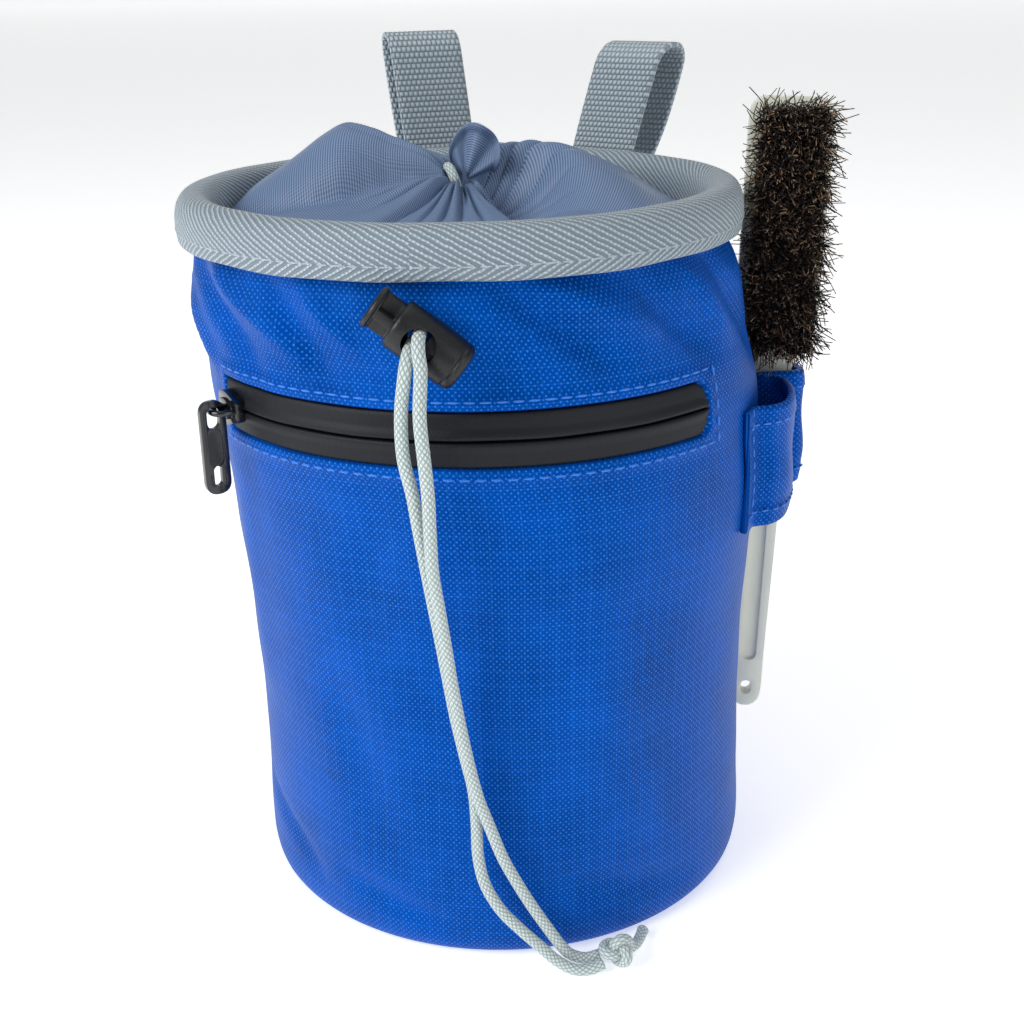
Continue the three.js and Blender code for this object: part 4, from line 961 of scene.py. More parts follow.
class CHALKBAG_OT_closure(bpy.types.Operator):
    """Makes the gathered lining with its folds, its hollow, its frill and the cord in its hem"""

    bl_idname = "chalkbag.closure"
    bl_label = "Lining closure"

    def execute(self, context):
        away = np.concatenate([np.array([1.0, 1.8, 2.6, 3.2]), np.linspace(3.8, 57.6, 100)])
        angles = np.arange(0, 360, 0.9)
        grid_r, grid_a = np.meshgrid(away, angles, indexing="ij")
        height = closure_height(grid_a, grid_r)
        near = (np.roll(height, 1, 1) + np.roll(height, -1, 1)) / 2
        along = np.vstack([height[:1], (height[:-2] + height[2:]) / 2, height[-1:]])
        height = 0.4 * height + 0.3 * near + 0.3 * along
        height -= 7 * (1 - step(1.0, 4.2, grid_r))
        slump = 0.06 * (height - 164) * np.sin(np.radians(grid_a + 100))
        x = lean()[0] + (grid_r + slump) * np.sin(np.radians(grid_a))
        y = lean()[1] - (grid_r + slump) * np.cos(np.radians(grid_a))
        upper = np.stack([x, y, height], -1)
        slope_r = np.gradient(upper, axis=0)
        slope_a = (np.roll(upper, -1, 1) - np.roll(upper, 1, 1)) / 2
        normal = np.cross(slope_a, slope_r)
        normal /= np.linalg.norm(normal, axis=-1)[..., None]
        normal *= np.sign(normal[..., 2:3] + 1e-9)
        lower = upper - 0.42 * normal
        rows = [*upper, *lower[::-1]]
        path = np.concatenate([[0], np.cumsum(np.linalg.norm(np.diff(upper, axis=0), axis=-1).mean(1))])
        along = np.concatenate([path, path[::-1], path[:1]])[:, None]
        across = 58 * np.radians(np.append(angles, 360))[None, :]
        mesh = skin("closure", rows, across, along, wrap=True, ends="joined")
        cloth = show(mesh, "closure_cloth", "lining", nodes=("lining_closure",))
        # The hem's casing stands up behind the throat as a small curled petal, and its cord comes out below.
        arch = through([
            (-10.4, 175.2), (-10.9, 178.4), (-9.6, 182.4), (-6.9, 185.2), (-3.4, 186.1), (0.2, 184.2),
            (2.3, 180.6), (2.4, 177.0), (0.8, 174.4),
        ], 80)
        share = np.linspace(0, 1, 80)
        rows = []
        for out in np.linspace(0.1, 1.0, 22):
            pleat = 1.5 * np.sin(share * 6.0 * math.pi + 0.6) * out ** 0.8 * (1 - 0.35 * out)
            curl = 1.9 * step(0.72, 1.0, out)
            x = -6.6 + (arch[:, 0] + 6.6) * out * (1 - 0.04 * curl)
            z = THROAT_Z + (arch[:, 1] - THROAT_Z) * out - 0.45 * curl
            y = 2.4 + 3.6 * out + pleat - curl * (0.4 + 0.6 * np.sin(share * math.pi))
            rows.append(np.stack([x, y, z], -1))
        run = np.linspace(0, 34, 80)
        frill = skin("frill", rows, run[None, :], np.linspace(0, 14, 22)[:, None])
        thick, fine = {"thickness": 0.45 * MM, "offset": 0}, {"levels": 1, "render_levels": 1}
        frill = smooth(worked(frill, ("SOLIDIFY", thick), ("SUBSURF", fine)))
        frill = show(frill, "closure_frill", "lining")
        cord = through([(-9.6, 1.6, 174.2), (-10.2, 0.4, 175.4), (-9.4, -1.4, 175.2), (-8.4, -2.6, 173.6),
            (-7.6, -2.4, 171)], 40)
        cord = show(tube("hem_cord", cord, 1.15, 14), "hem_cord", "cord")
        # The lining is a strip with a tapered cut, so its area is less than its flat size.
        return {"FINISHED"}


def new_tree(name, start, numbers, whole=()):
    """A geometry tree with its sockets: the mesh it starts from, numbers, whole numbers and a material."""
    tree = bpy.data.node_groups.new(name, "GeometryNodeTree")
    sockets = [(start, "Geometry"), *((n, "Float") for n in numbers), *((n, "Int") for n in whole)]
    for label, kind in (*sockets, ("Finish", "Material")):
        tree.interface.new_socket(label, in_out="INPUT", socket_type=f"NodeSocket{kind}")
    tree.interface.new_socket("Mesh", in_out="OUTPUT", socket_type="NodeSocketGeometry")
    return tree, tree.nodes.new("NodeGroupInput").outputs


def end_tree(tree, rows, material, smooth_rows):
    """Ends a tree: its instances become one plain mesh of one material."""
    rows = add(tree, "GeometryNodeRealizeInstances", {"Geometry": rows})
    if smooth_rows:
        rows = add(tree, "GeometryNodeSetShadeSmooth", {"Geometry": rows})
    rows = add(tree, "GeometryNodeSetMaterial", {"Geometry": rows, "Material": material})
    tree.links.new(rows, tree.nodes.new("NodeGroupOutput").inputs[0])
    return tree


STITCH_TREE = "stitch_row"


def stitch_tree():
    """Stitches laid along a line: a short soft bar at each step, turned to follow the line."""
    if STITCH_TREE in bpy.data.node_groups:
        return bpy.data.node_groups[STITCH_TREE]
    tree, given = new_tree(STITCH_TREE, "Line", ("Pitch", "Stitch", "Thread"))
    line = add(tree, "GeometryNodeMeshToCurve", {"Mesh": given["Line"]})
    line = add(tree, "GeometryNodeResampleCurve", {"Curve": line, "Length": given["Pitch"]}, mode="LENGTH")
    across = add(tree, "GeometryNodeInputTangent")
    turned = add(tree, "FunctionNodeAlignRotationToVector", {"Vector": across}, axis="Z")
    bar = add(tree, "GeometryNodeMeshIcoSphere", {"Radius": 1.0, "Subdivisions": 2})
    half = add(tree, "ShaderNodeMath", [given["Stitch"], 0.5], operation="MULTIPLY")
    size_of = tree.nodes.new("ShaderNodeCombineXYZ")
    for socket, source in zip(size_of.inputs, (given["Thread"], given["Thread"], half)):
        tree.links.new(source, socket)
    bar = add(tree, "GeometryNodeTransform", {"Geometry": bar, "Scale": size_of.outputs[0]})
    rows = add(tree, "GeometryNodeInstanceOnPoints", {"Points": line, "Instance": bar, "Rotation": turned})
    return end_tree(tree, rows, given["Finish"], True)


def grown(mesh, tree, values):
    """The plain mesh that a tree of geometry nodes makes of one, with its named inputs set."""
    carrier = placed("carrier", mesh)
    modifier = carrier.modifiers.new("tree", "NODES")
    modifier.node_group = tree
    for item in tree.interface.items_tree:
        if item.item_type == "SOCKET" and item.name in values:
            modifier[item.identifier] = values[item.name]
    carrier.update_tag()
    return settled(carrier)


def sew(name, lines, kind="stitch", pitch=None, bar=None, thread=None):
    """Rows of stitches along lines of points in millimetres."""
    points, edges = [], []
    for line in lines:
        start = len(points)
        points.extend((np.asarray(line) * MM).tolist())
        edges.extend((k, k + 1) for k in range(start, len(points) - 1))
    mesh = bpy.data.meshes.new(name)
    mesh.from_pydata(points, edges, [])
    mesh = grown(mesh, stitch_tree(), {
        "Pitch": pitch or size().stitch_pitch, "Stitch": bar or size().stitch_length,
        "Thread": thread or size().thread_radius, "Finish": finish(kind),
    })
    return show(mesh, name, kind)


def zip_half(side):
    """One half of the zip: coated tape that swells toward the parting and tucks under the hem."""
    middle, wide = mm(size().zip_height), mm(size().zip_width) / 2
    angles = np.concatenate([np.linspace(-52.0, ZIP_END - 3, 150), np.linspace(ZIP_END - 2.7, ZIP_END, 14)])
    outline = np.array([
        (wide - 0.02, -0.75), (wide - 0.1, -0.35), (wide - 0.7, -0.08), (wide - 1.6, 0.02), (3.4, 0.1),
        (2.6, 0.16), (1.9, 0.42), (1.3, 0.62), (0.75, 0.66), (0.35, 0.45), (0.19, 0.0), (0.175, -0.6),
        (0.175, -1.15), (2.5, -1.2), (wide - 0.4, -1.2), (wide - 0.05, -1.1),
    ])
    section = through(outline, 44, closed=True)
    corner = 3.6
    rows = []
    for angle in angles:
        short = max(0.0, ZIP_RADIUS * math.radians(angle - ZIP_END) + corner)
        reach = (wide - corner + math.sqrt(max(corner**2 - short**2, 0.3))) / wide
        waved = 0.12 * math.sin(angle * 0.35 + side) * (side + 1)
        height = middle + side * section[:, 0] * reach
        rows.append(wall(angle, height, section[:, 1] + waved * 0.4))
    along = np.broadcast_to(ZIP_RADIUS * np.radians(angles)[:, None], (len(angles), 45))
    across = np.append(section[:, 0], section[0, 0])[None, :]
    name = "upper" if side > 0 else "lower"
    mesh = skin(f"zip_{name}", rows, across, along, wrap=True, ends="capped")
    return show(mesh, f"zip_{name}", "zip", nodes=(f"zip_tape_{name}",))


class CHALKBAG_OT_zip(bpy.types.Operator):
    """Makes both halves of the coated zip and the stitches round it"""

    bl_idname = "chalkbag.zip"
    bl_label = "Zip"

    def execute(self, context):
        for side in (1, -1):
            zip_half(side)
        middle, reach = mm(size().zip_height), mm(size().zip_width) / 2 + 2.35
        levels = np.linspace(middle + reach - 0.8, middle - reach + 0.8, 24)
        sew("zip_stitches", [wall(angles, heights, 0.46) for angles, heights in (
            (np.linspace(-52.5, ZIP_END + 0.4, 160), middle + reach), (np.full(24, ZIP_END + 3.0), levels),
            (np.linspace(ZIP_END + 0.4, -54, 160), middle - reach),
        )])
        return {"FINISHED"}


SLIDER_ANGLE = -48.1


class CHALKBAG_OT_slider(bpy.types.Operator):
    """Makes the zip's slider with its bridge, and the pull that hangs on it"""

    bl_idname = "chalkbag.slider"
    bl_label = "Slider and pull"

    def execute(self, context):
        place = wall_frame(SLIDER_ANGLE, mm(size().zip_height))
        outline = through([
            (-4.2, -2.2), (-3.9, -3.3), (-2.7, -3.8), (-0.5, -3.75), (1.8, -3.0), (3.6, -2.5), (4.2, -1.9),
            (4.2, 1.9), (3.6, 2.5), (1.8, 3.0), (-0.5, 3.75), (-2.7, 3.8), (-3.9, 3.3), (-4.2, 2.2),
        ], 64, closed=True)
        body = moved(soft_edges(plate("slider", outline, 2.2), 0.45), y=-1.4)
        lip = moved(soft_edges(plate("slider_lip", outline * (0.72, 0.62), 0.7), 0.25), y=-2.75)
        arch = through([(-2.75, -1.6, 0), (-2.75, -3.6, 0), (-2.3, -5.3, 0), (-1.1, -6.3, 0), (1.1, -6.3, 0),
                        (2.3, -5.3, 0), (2.75, -3.6, 0), (2.75, -1.6, 0)], 40)
        bridge = tube("bridge", arch, 0.72, 16)
        mesh = joined("slider", body, lip, bridge)
        show(transformed(mesh, place), "slider", "lacquer", nodes=("zip_slider",))

        pivot = wall_frame(SLIDER_ANGLE, mm(size().zip_height), 6.35)
        long, wide = 21.5, 6.0
        hole = long / 2 - 3.9
        outline = rounded(wide, long, steps=16, square=0.06)
        holes = [rounded(2.9, 5.0, (0, hole)), rounded(1.9, 4.6, (0, 4.2 - long / 2))]
        tab = soft_edges(plate("pull", outline, 1.4, holes), 0.42, 4)
        # A sunk panel between the two holes on both faces.
        panels = [moved(plate("panel", rounded(3.5, 8.2, (0, -0.3)), 1.0), y=side) for side in (1, -1)]
        tab = moved(smooth(cut_out(tab, *panels), SHARP), z=-(hole + 1.2))
        tab.transform(Matrix.Rotation(math.pi / 2, 4, "Z"))
        show(transformed(tab, pivot), "pull", "lacquer", body="pull", nodes=("zip_pull",))
        return {"FINISHED"}


def ribbon(name, line, across, wide, thick):
    """A strip of webbing along a line: across gives its width's direction, and its edges are rounded."""
    face = np.cross(directions(line), across)
    face /= np.linalg.norm(face, axis=1)[:, None]
    half, deep = wide / 2, thick / 2
    flat = np.linspace(-half + 0.35, half - 0.35, 13)
    ring = [(x, deep) for x in flat] + [(half - 0.08, 0.6 * deep), (half, 0), (half - 0.08, -0.6 * deep)]
    ring += [(x, -deep) for x in flat[::-1]] + [(-half + 0.08, -0.6 * deep), (-half, 0),
        (-half + 0.08, 0.6 * deep)]
    rows = [[p + x * a + y * n for x, y in ring] for p, a, n in zip(line, across, face)]
    ring = np.array(ring + ring[:1])
    # The weave's back is half a thread out of step with its face.
    around = ring[:, 0] + 100 + np.where(ring[:, 1] < -0.7 * deep, PILLOW * 0.5, 0)
    return skin(name, rows, around[None, :], run_of(line)[:, None], wrap=True, ends="capped")


# The belt loops: angle from the front, twist against the wall and sideways tilt in degrees; how far the foot
# lies below the rim and how wide the loop stands open in millimetres.
LOOPS = (
    # name, angle, twist, below the rim, open, tilt
    ("left", 192, 14.5, 27, 8, 7), ("right", 166, -19, 30, 12, -19),
)


class CHALKBAG_OT_loops(bpy.types.Operator):
    """Makes both belt loops from one strip of webbing each, with the stitches at their feet"""

    bl_idname = "chalkbag.loops"
    bl_label = "Belt loops"

    def execute(self, context):
        wide, w = mm(size().webbing_width), mm(size().webbing_thickness)
        for name, angle, twist, past, gap, tilt in LOOPS:
            foot = mm(size().height) - past
            place = wall_frame(angle, foot)
            faced = math.radians(angle + twist)
            outward = Vector((math.sin(faced), -math.cos(faced), 0))
            to_rim = Vector((*lean(), foot)) - place.translation
            clear = outward.dot(to_rim) + mm(size().rim_diameter) / 2 + 0.6
            first, top = clear + w / 2, 57.0
            path = [
                (0.9 + w / 2, 0), (0.9 + w / 2, 5), (0.9 + w / 2, 9.4), (clear - 1.2, past - 14.5),
                (first, past - 9), (first, past + 8), (first, top - 9), (first + 0.03 * gap, top - 4),
                (first + 0.2 * gap, top - 1.5), (clear + w + 0.45 * gap, top - w / 2),
                (clear + w + 0.75 * gap, top - 1.7), (first + gap, top - 4.6),
                (first + 1.05 * gap, top - 9), (first + 1.06 * gap, past + 6),
                (first + 0.9 * gap, past - 4), (0.45 * clear + 0.5 * gap + 3, 16), (1.2 + 1.5 * w, 9.8),
                (1.0 + 1.5 * w, 5), (1.0 + 1.5 * w, 0),
            ]
            flat = through(path, 150)
            lean_up = math.tan(math.radians(tilt))
            # The strip lies flat on the wall at its foot and turns as it rises.
            turned = np.radians(angle + twist * step(4, 20, flat[:, 1]))
            along_wall = np.stack([np.cos(turned), np.sin(turned), 0 * turned], -1)
            out = np.stack([np.sin(turned), -np.cos(turned), 0 * turned], -1)
            line = np.array(place.translation) + out * flat[:, :1] + along_wall * flat[:, 1:] * lean_up
            line[:, 2] += flat[:, 1]
            mesh = ribbon(f"loop_{name}", line, -along_wall, wide, w)
            show(mesh, f"belt_loop_webbing_{name}", "webbing", nodes=(f"belt_loop_{name}",))
            off = -(1.0 + 2 * w + 0.1)
            # A box with a cross in it.
            x, low, high = 8.2, 1.4, 8.2
            corners = [(-x, low), (x, low), (x, high), (-x, high), (-x, low), (x, high), (x, low), (-x, high)]
            lines = []
            for a, b in zip(corners, corners[1:]):
                share = np.linspace(0, 1, 12)[:, None]
                spot = np.array(a) * (1 - share) + np.array(b) * share
                local = np.stack([spot[:, 0] + spot[:, 1] * lean_up, np.full(12, off), spot[:, 1]], -1)
                lines.append(np.array([(place @ Vector(p))[:] for p in local]))
            sew(f"loop_stitches_{name}", lines, "grey_stitch", pitch=2.3 * MM, bar=1.8 * MM)
        return {"FINISHED"}


HOLDER_ANGLE = 104.5


class CHALKBAG_OT_holder(bpy.types.Operator):
    """Makes the brush holder: one strip of shell cloth sewn down in two channels"""

    bl_idname = "chalkbag.holder"
    bl_label = "Brush holder"

    def execute(self, context):
        low, high = mm(size().height) - 79.2, mm(size().height) - 49.2
        half, deep, arch = 4.25, 12.8, 7.8
        middle = -half - 1.9
        front = middle - 27
        path = [
            (front - 6, 0.9), (front - 3, 0.95), (front - 1.0, 1.2), (front + 0.4, 2.6), (front + 1.9, 4.7),
            (front + 5.6, 6.9), (front + 12, arch), (middle - 9, arch + 0.1), (middle - 3.6, 7.1),
            (middle - 1.6, 4.9), (middle - 0.9, 2.4), (middle, 1.0), (middle + 1.1, 2.3),
            (-half - 0.05, 7.0), (-half - 0.1, deep - 2), (1.2 - half, deep), (0, deep + 0.5),
            (half - 1.2, deep), (half + 0.1, deep - 2), (half + 0.1, 4.4), (half + 1.0, 1.9),
            (half + 2.6, 1.0), (half + 6, 0.9),
        ]
        line = through(path, 230)
        along = directions(line)
        side = np.stack([-along[:, 1], along[:, 0]], -1)

        def on_wall(x, z, y):
            """Points on the wall, x round from the rear channel's middle and y out, in millimetres."""
            return wall(HOLDER_ANGLE + np.degrees(x / 64.2), z, y)

        inner = np.linspace(low + 1.4, high - 1.4, 22)
        heights = np.concatenate([[low + 0.15, low + 0.6], inner, [high - 0.6, high - 0.15]])
        hem = 0.6 + 0.28 * (step(high - 5.2, high - 4.4, heights) + 1 - step(low + 4.4, low + 5.2, heights))
        hem = hem * np.where((heights < low + 0.5) | (heights > high - 0.5), 0.55, 1)
        rows = []
        for k, (spot, out) in enumerate(zip(line, side)):
            ripple = 0.3 * np.sin(0.35 * heights + 0.06 * k) * min(1.0, spot[1] / 6)
            faces = ((heights, hem + ripple), (heights[::-1], (ripple - hem)[::-1]))
            ring = [on_wall(spot[0] + out[0] * off, levels, spot[1] + out[1] * off) for levels, off in faces]
            rows.append(np.vstack(ring))
        around = np.concatenate([heights, heights[::-1], heights[:1]])
        runs = np.broadcast_to(run_of(line)[:, None], (len(line), len(around)))
        mesh = skin("holder", rows, runs, around[None, :], wrap=True, ends="capped")
        show(mesh, "holder", "shell", nodes=("brush_holder",))
        x, y = (line + side * 0.98)[4:-4].T
        lines = [on_wall(x, np.full(len(x), z), y) for z in (high - 4.2, low + 4.2)]
        levels = np.linspace(low + 1, high - 1, 40)
        left = front - 3.4
        seams = ((left, float(np.interp(left, line[:12, 0], line[:12, 1]))), (middle, 1.6), (half + 3.6, 1.6))
        lines.extend(on_wall(x, levels, y + 0.7) for x, y in seams)
        sew("holder_stitches", lines, pitch=2.9 * MM, bar=2.1 * MM)
        return {"FINISHED"}


BRUSH_FRAME = Matrix((
    (0.999048, -0.026177, 0.034888, 64.5364),
    (0.026161, 0.999657, 0.000914, 17.6653),
    (-0.034899, 0.0, 0.999391, 28.3632),
    (0, 0, 0, 1),
))


class CHALKBAG_OT_brush_handle(bpy.types.Operator):
    """Makes the brush's flat handle with its sunk channels and its hanging hole"""

    bl_idname = "chalkbag.brush_handle"
    bl_label = "Brush handle"

    def execute(self, context):
        brush = context.scene.bag_brush
        long, thick = mm(brush.long), mm(brush.thickness)
        head, neck, end = mm(brush.head_width), mm(brush.neck_width), mm(brush.end_width)
        # Share of the length from the lower end, and half the width there.
        side = [
            (0.0, 0.14 * end), (0.003, 0.27 * end), (0.01, 0.41 * end), (0.025, 0.5 * end),
            (0.1, 0.52 * end), (0.3, 0.47 * neck), (0.5, 0.49 * neck), (0.593, 0.5 * neck),
            (0.605, 0.27 * head), (0.618, 0.33 * head), (0.635, 0.42 * head), (0.655, 0.48 * head),
            (0.68, 0.5 * head), (0.8, 0.5 * head), (0.965, 0.5 * head), (0.984, 0.485 * head),
            (0.994, 0.44 * head), (0.999, 0.36 * head), (1.0, 0.26 * head),
        ]
        right = through([(w, share * long) for share, w in side], 110)
        outline = np.vstack([right, right[::-1] * (-1, 1)])
        bar = plate("handle", outline, thick, [rounded(2.8, 4.2, (0, 5.4))])
        channel = rounded(0.42 * neck, 0.42 * long, (0, (0.085 + 0.21) * long), 12)
        panel = rounded(0.78 * head, 0.33 * long, (0, 0.82 * long), 12)
        tools = [
            moved(plate("tool", ring, 2 * deep), y=face * thick / 2)
            for face, ring, deep in ((1, channel, 1.0), (1, panel, 0.35), (-1, channel, 1.0),
                (-1, panel, 0.1))
        ]
        mesh = soft_edges(cut_out(bar, *tools), 0.5, 3)
        show(transformed(mesh, BRUSH_FRAME), "handle", "handle", body="brush", nodes=("brush_handle",))
        return {"FINISHED"}


def bristle_tree():
    """Bristles on a base: bent hairs of three kinds, each with its own lean, length and tint."""
    tree, given = new_tree("bristle_field", "Base", ("Density", "Hair length", "Hair radius"), ("Seed",))
    feeds = {"Mesh": given["Base"], "Density": given["Density"], "Seed": given["Seed"]}
    points = add(tree, "GeometryNodeDistributePointsOnFaces", feeds, out="Points")

    def chance(kind, low, high, seed):
        """A random value for each bristle. Each kind has its own sockets: its result, then its two limits."""
        out = {"FLOAT_VECTOR": 0, "FLOAT": 1, "INT": 2}[kind]
        feeds = {2 * out: low, 2 * out + 1: high, "Seed": seed}
        return add(tree, "FunctionNodeRandomValue", feeds, out=out, data_type=kind)

    feeds = {"Geometry": points, "Name": "tint", "Value": chance("FLOAT", 0.0, 1.0, 11)}
    tinted = add(tree, "GeometryNodeStoreNamedAttribute", feeds, data_type="FLOAT", domain="POINT")
    hairs = add(tree, "GeometryNodeJoinGeometry")
    ring = add(tree, "GeometryNodeCurvePrimitiveCircle", {"Resolution": 3, "Radius": 1.0})
    share = add(tree, "ShaderNodeMath", [given["Hair radius"], given["Hair length"]], operation="DIVIDE")
    ring = add(tree, "GeometryNodeTransform", {
        "Geometry": ring,
        "Scale": add(tree, "ShaderNodeVectorMath", {0: (1, 1, 1), 3: share}, operation="SCALE"),
    })
    for bend, tip in (((0.02, 0.03, 0.6), (0.12, -0.05, 1.0)), ((-0.1, 0.02, 0.55), (0.16, 0.12, 0.97)),
                      ((0.08, -0.12, 0.7), (-0.3, 0.1, 0.86))):
        line = add(tree, "GeometryNodeCurveQuadraticBezier", {
            "Resolution": 4, "Start": (0, 0, 0), "Middle": bend, "End": tip})
        hair = add(tree, "GeometryNodeCurveToMesh", {"Curve": line, "Profile Curve": ring, "Fill Caps": True})
        one = add(tree, "GeometryNodeGeometryToInstance", {"Geometry": hair})
        tree.links.new(one, hairs.node.inputs[0])
    place = add(tree, "GeometryNodeInputPosition")
    flare = add(tree, "ShaderNodeVectorMath", {0: place, 1: (9.0, 0.0, 4.0)}, operation="MULTIPLY")
    away = add(tree, "ShaderNodeVectorMath", {0: flare, 1: (0.0, -1.0, 0.0)}, operation="ADD")
    away = add(tree, "ShaderNodeVectorMath", {
        0: away, 1: chance("FLOAT_VECTOR", (-0.2, -0.1, -0.2), (0.2, 0.1, 0.2), 5)}, operation="ADD")
    turned = add(tree, "FunctionNodeAlignRotationToVector", {"Vector": away}, axis="Z")
    spun = add(tree, "FunctionNodeRotateRotation", {
        "Rotation": turned,
        "Rotate By": add(tree, "FunctionNodeEulerToRotation", {
            "Euler": chance("FLOAT_VECTOR", (0, 0, 0), (0, 0, 6.283), 3)}),
    }, rotation_space="LOCAL")
    grows = chance("FLOAT", 0.78, 1.08, 9)
    size_of = add(tree, "ShaderNodeMath", [given["Hair length"], grows], operation="MULTIPLY")
    rows = add(tree, "GeometryNodeInstanceOnPoints", {
        "Points": tinted, "Instance": hairs, "Pick Instance": True,
        "Instance Index": chance("INT", 0, 2, 21), "Rotation": spun, "Scale": size_of,
    })
    return end_tree(tree, rows, given["Finish"], False)


class CHALKBAG_OT_bristles(bpy.types.Operator):
    """Makes the brush's bristles by geometry nodes: thousands of bent hairs that lean their own way"""

    bl_idname = "chalkbag.bristles"
    bl_label = "Bristles"

    def execute(self, context):
        brush = context.scene.bag_brush
        long = mm(brush.long)
        low, high, half = 0.621 * long + 2.5, long - 2.5, 7.4
        middle, reach = (low + high) / 2, (high - low) / 2
        base = plate("base", [(-half, -reach), (half, -reach), (half, reach), (-half, reach)], 1.0)
        # Only the face that the bristles stand on is kept.
        form = bmesh.new()
        form.from_mesh(base)
        bmesh.ops.delete(form, geom=[f for f in form.faces if f.normal.y > -0.9], context="FACES")
        form.to_mesh(base)
        form.free()
        area = 2 * half * (high - low) * MM * MM
        mesh = grown(base, bristle_tree(), {
            "Density": brush.bristle_count / area, "Hair length": brush.bristle_length,
            "Hair radius": brush.bristle_radius, "Seed": brush.seed, "Finish": finish("bristle"),
        })
        moved(mesh, y=-(mm(brush.thickness) / 2 - 0.2), z=middle)
        show(transformed(mesh, BRUSH_FRAME), "bristles", "bristle", body="brush", nodes=("brush_bristles",))
        return {"FINISHED"}


LOCK_FRAME = Matrix((
    (0.798362, -0.026177, 0.601609, -3.1141),
    (0.020906, 0.999657, 0.015754, -71.0930),
    (-0.601815, 0.0, 0.798636, 150.6),
    (0, 0, 0, 1),
))


class CHALKBAG_OT_cord_lock(bpy.types.Operator):
    """Makes the cord lock: its barrel with the cords' hole, and its plunger with the ribbed neck"""

    bl_idname = "chalkbag.cord_lock"
    bl_label = "Cord lock"

    def execute(self, context):
        outline = [
            (8.0, 0.05), (8.0, 3.7), (7.9, 4.3), (7.45, 4.85), (6.9, 5.12), (6.4, 5.18), (6.1, 5.0),
            (5.8, 5.0), (5.5, 5.22), (2.4, 5.3), (-2.0, 5.3), (-6.0, 5.24), (-7.2, 5.2), (-7.7, 5.08),
            (-7.95, 4.9), (-8.0, 4.7), (-8.0, 4.5), (-7.85, 4.4), (-7.4, 4.38), (6.7, 4.38), (6.9, 4.2),
            (6.9, 0.05),
        ]
        barrel = lathed("barrel", outline)
        hole = lathed("hole", [(-9, 0.05), (-9, 3.5), (9, 3.5), (9, 0.05)], 48)
        hole.transform(Matrix.Translation((-1.8 * MM, 0, 0)) @ Matrix.Rotation(math.pi / 2, 4, "Z"))
        barrel = soft_edges(cut_out(barrel, hole), 0.22, 3)
        show(transformed(barrel, LOCK_FRAME), "lock_barrel", "lock", nodes=("cord_lock_barrel",))
        stem, flange = 4.1, 4.7
        outline = [
            (3.3, 0.05), (3.3, 3.7), (2.9, stem), (-7.9, stem), (-9.3, stem), (-12.0, stem),
            (-12.4, stem + 0.1), (-12.5, flange - 0.1), (-12.7, flange), (-13.0, flange),
            (-13.45, flange - 0.3), (-13.7, flange - 0.7), (-13.7, 2.6), (-13.5, 2.2), (-13.45, 0.05),
        ]
        plunger = lathed("plunger", outline)
        block = plate("slot", [(-7.55, -3.3), (-0.95, -3.3), (-0.95, 3.3), (-7.55, 3.3)], 20)
        tools = [block]
        for a in (-1, 1):
            for b in (-1, 1):
                tool = plate("pocket", [(-12.0, 1.0), (-8.6, 1.0), (-8.6, 5.2), (-12.0, 5.2)], 4.2)
                tool.transform(Matrix.Translation((0, a * 3.1 * MM, 0)) @ Matrix.Scale(b, 4, (0, 0, 1)))
                if b < 0:
                    tool.flip_normals()
                tools.append(tool)
        plunger = soft_edges(cut_out(plunger, *tools), 0.16, 2)
        plunger = transformed(plunger, LOCK_FRAME)
        show(plunger, "lock_plunger", "lock", body="plunger", nodes=("cord_lock_plunger",))
        return {"FINISHED"}


# The two strands of the drawcord below the lock, in millimetres, from the lock's mouth to the knot.
LEFT_STRAND = [
    (-7.7, -79.4, 139), (-7.8, -78.6, 130), (-6.6, -77.4, 122), (-5.9, -76, 114), (-5.1, -74.2, 105),
    (-4.3, -72.2, 96), (-3.4, -70.4, 87), (-2.4, -68.8, 77), (-1.3, -67.4, 67), (0.3, -66.6, 57),
    (1.9, -66.2, 48), (2.4, -66.4, 40), (2.6, -66.7, 31), (4.1, -67.2, 24), (7.7, -67.7, 17.6),
    (12.3, -67.2, 12), (16.5, -66.2, 7), (20.3, -66.2, 3.4), (24.4, -66.9, 1.8), (28, -66.4, 1.8),
    (30.9, -65, 2.5),
]
RIGHT_STRAND = [
    (-3.8, -80.8, 139), (-3.4, -80.2, 130), (-3.1, -79.2, 122), (-3.2, -78.4, 114), (-3.2, -77.2, 105),
    (-2.5, -75.4, 96), (-1.8, -73.6, 87), (-1, -71.9, 77), (0.1, -70.5, 67), (1.6, -69.7, 57),
    (3.4, -69.2, 48), (5.6, -68, 40), (8.3, -66.8, 31), (11.4, -66.2, 24), (14.6, -65.6, 17.6),
    (17.9, -64.9, 11.6), (20.6, -64.2, 6.8), (23, -63.4, 3.4), (26.4, -62.8, 2), (29.9, -62, 2.7),
]
KNOT_CENTRE = np.array([34.2, -62.6, 4.2])


def strand_line(start, across, points):
    """A strand's centreline: out of the wall, through the lock, over a round bend and down its points."""
    start, outward = np.array(start), np.array((0.026177, -0.999657, 0))
    line = [start + outward * 9.6 * share for share in (0, 0.5, 1)]
    for degrees in (30, 60, 90):
        bent = math.radians(degrees)
        point = line[2] + outward * 5.4 * math.sin(bent)
        point[0] += 0.5 * across * (1 - math.cos(bent))
        point[2] -= 5.4 * (1 - math.cos(bent))
        line.append(point)
    return through([*line, *points], 260)


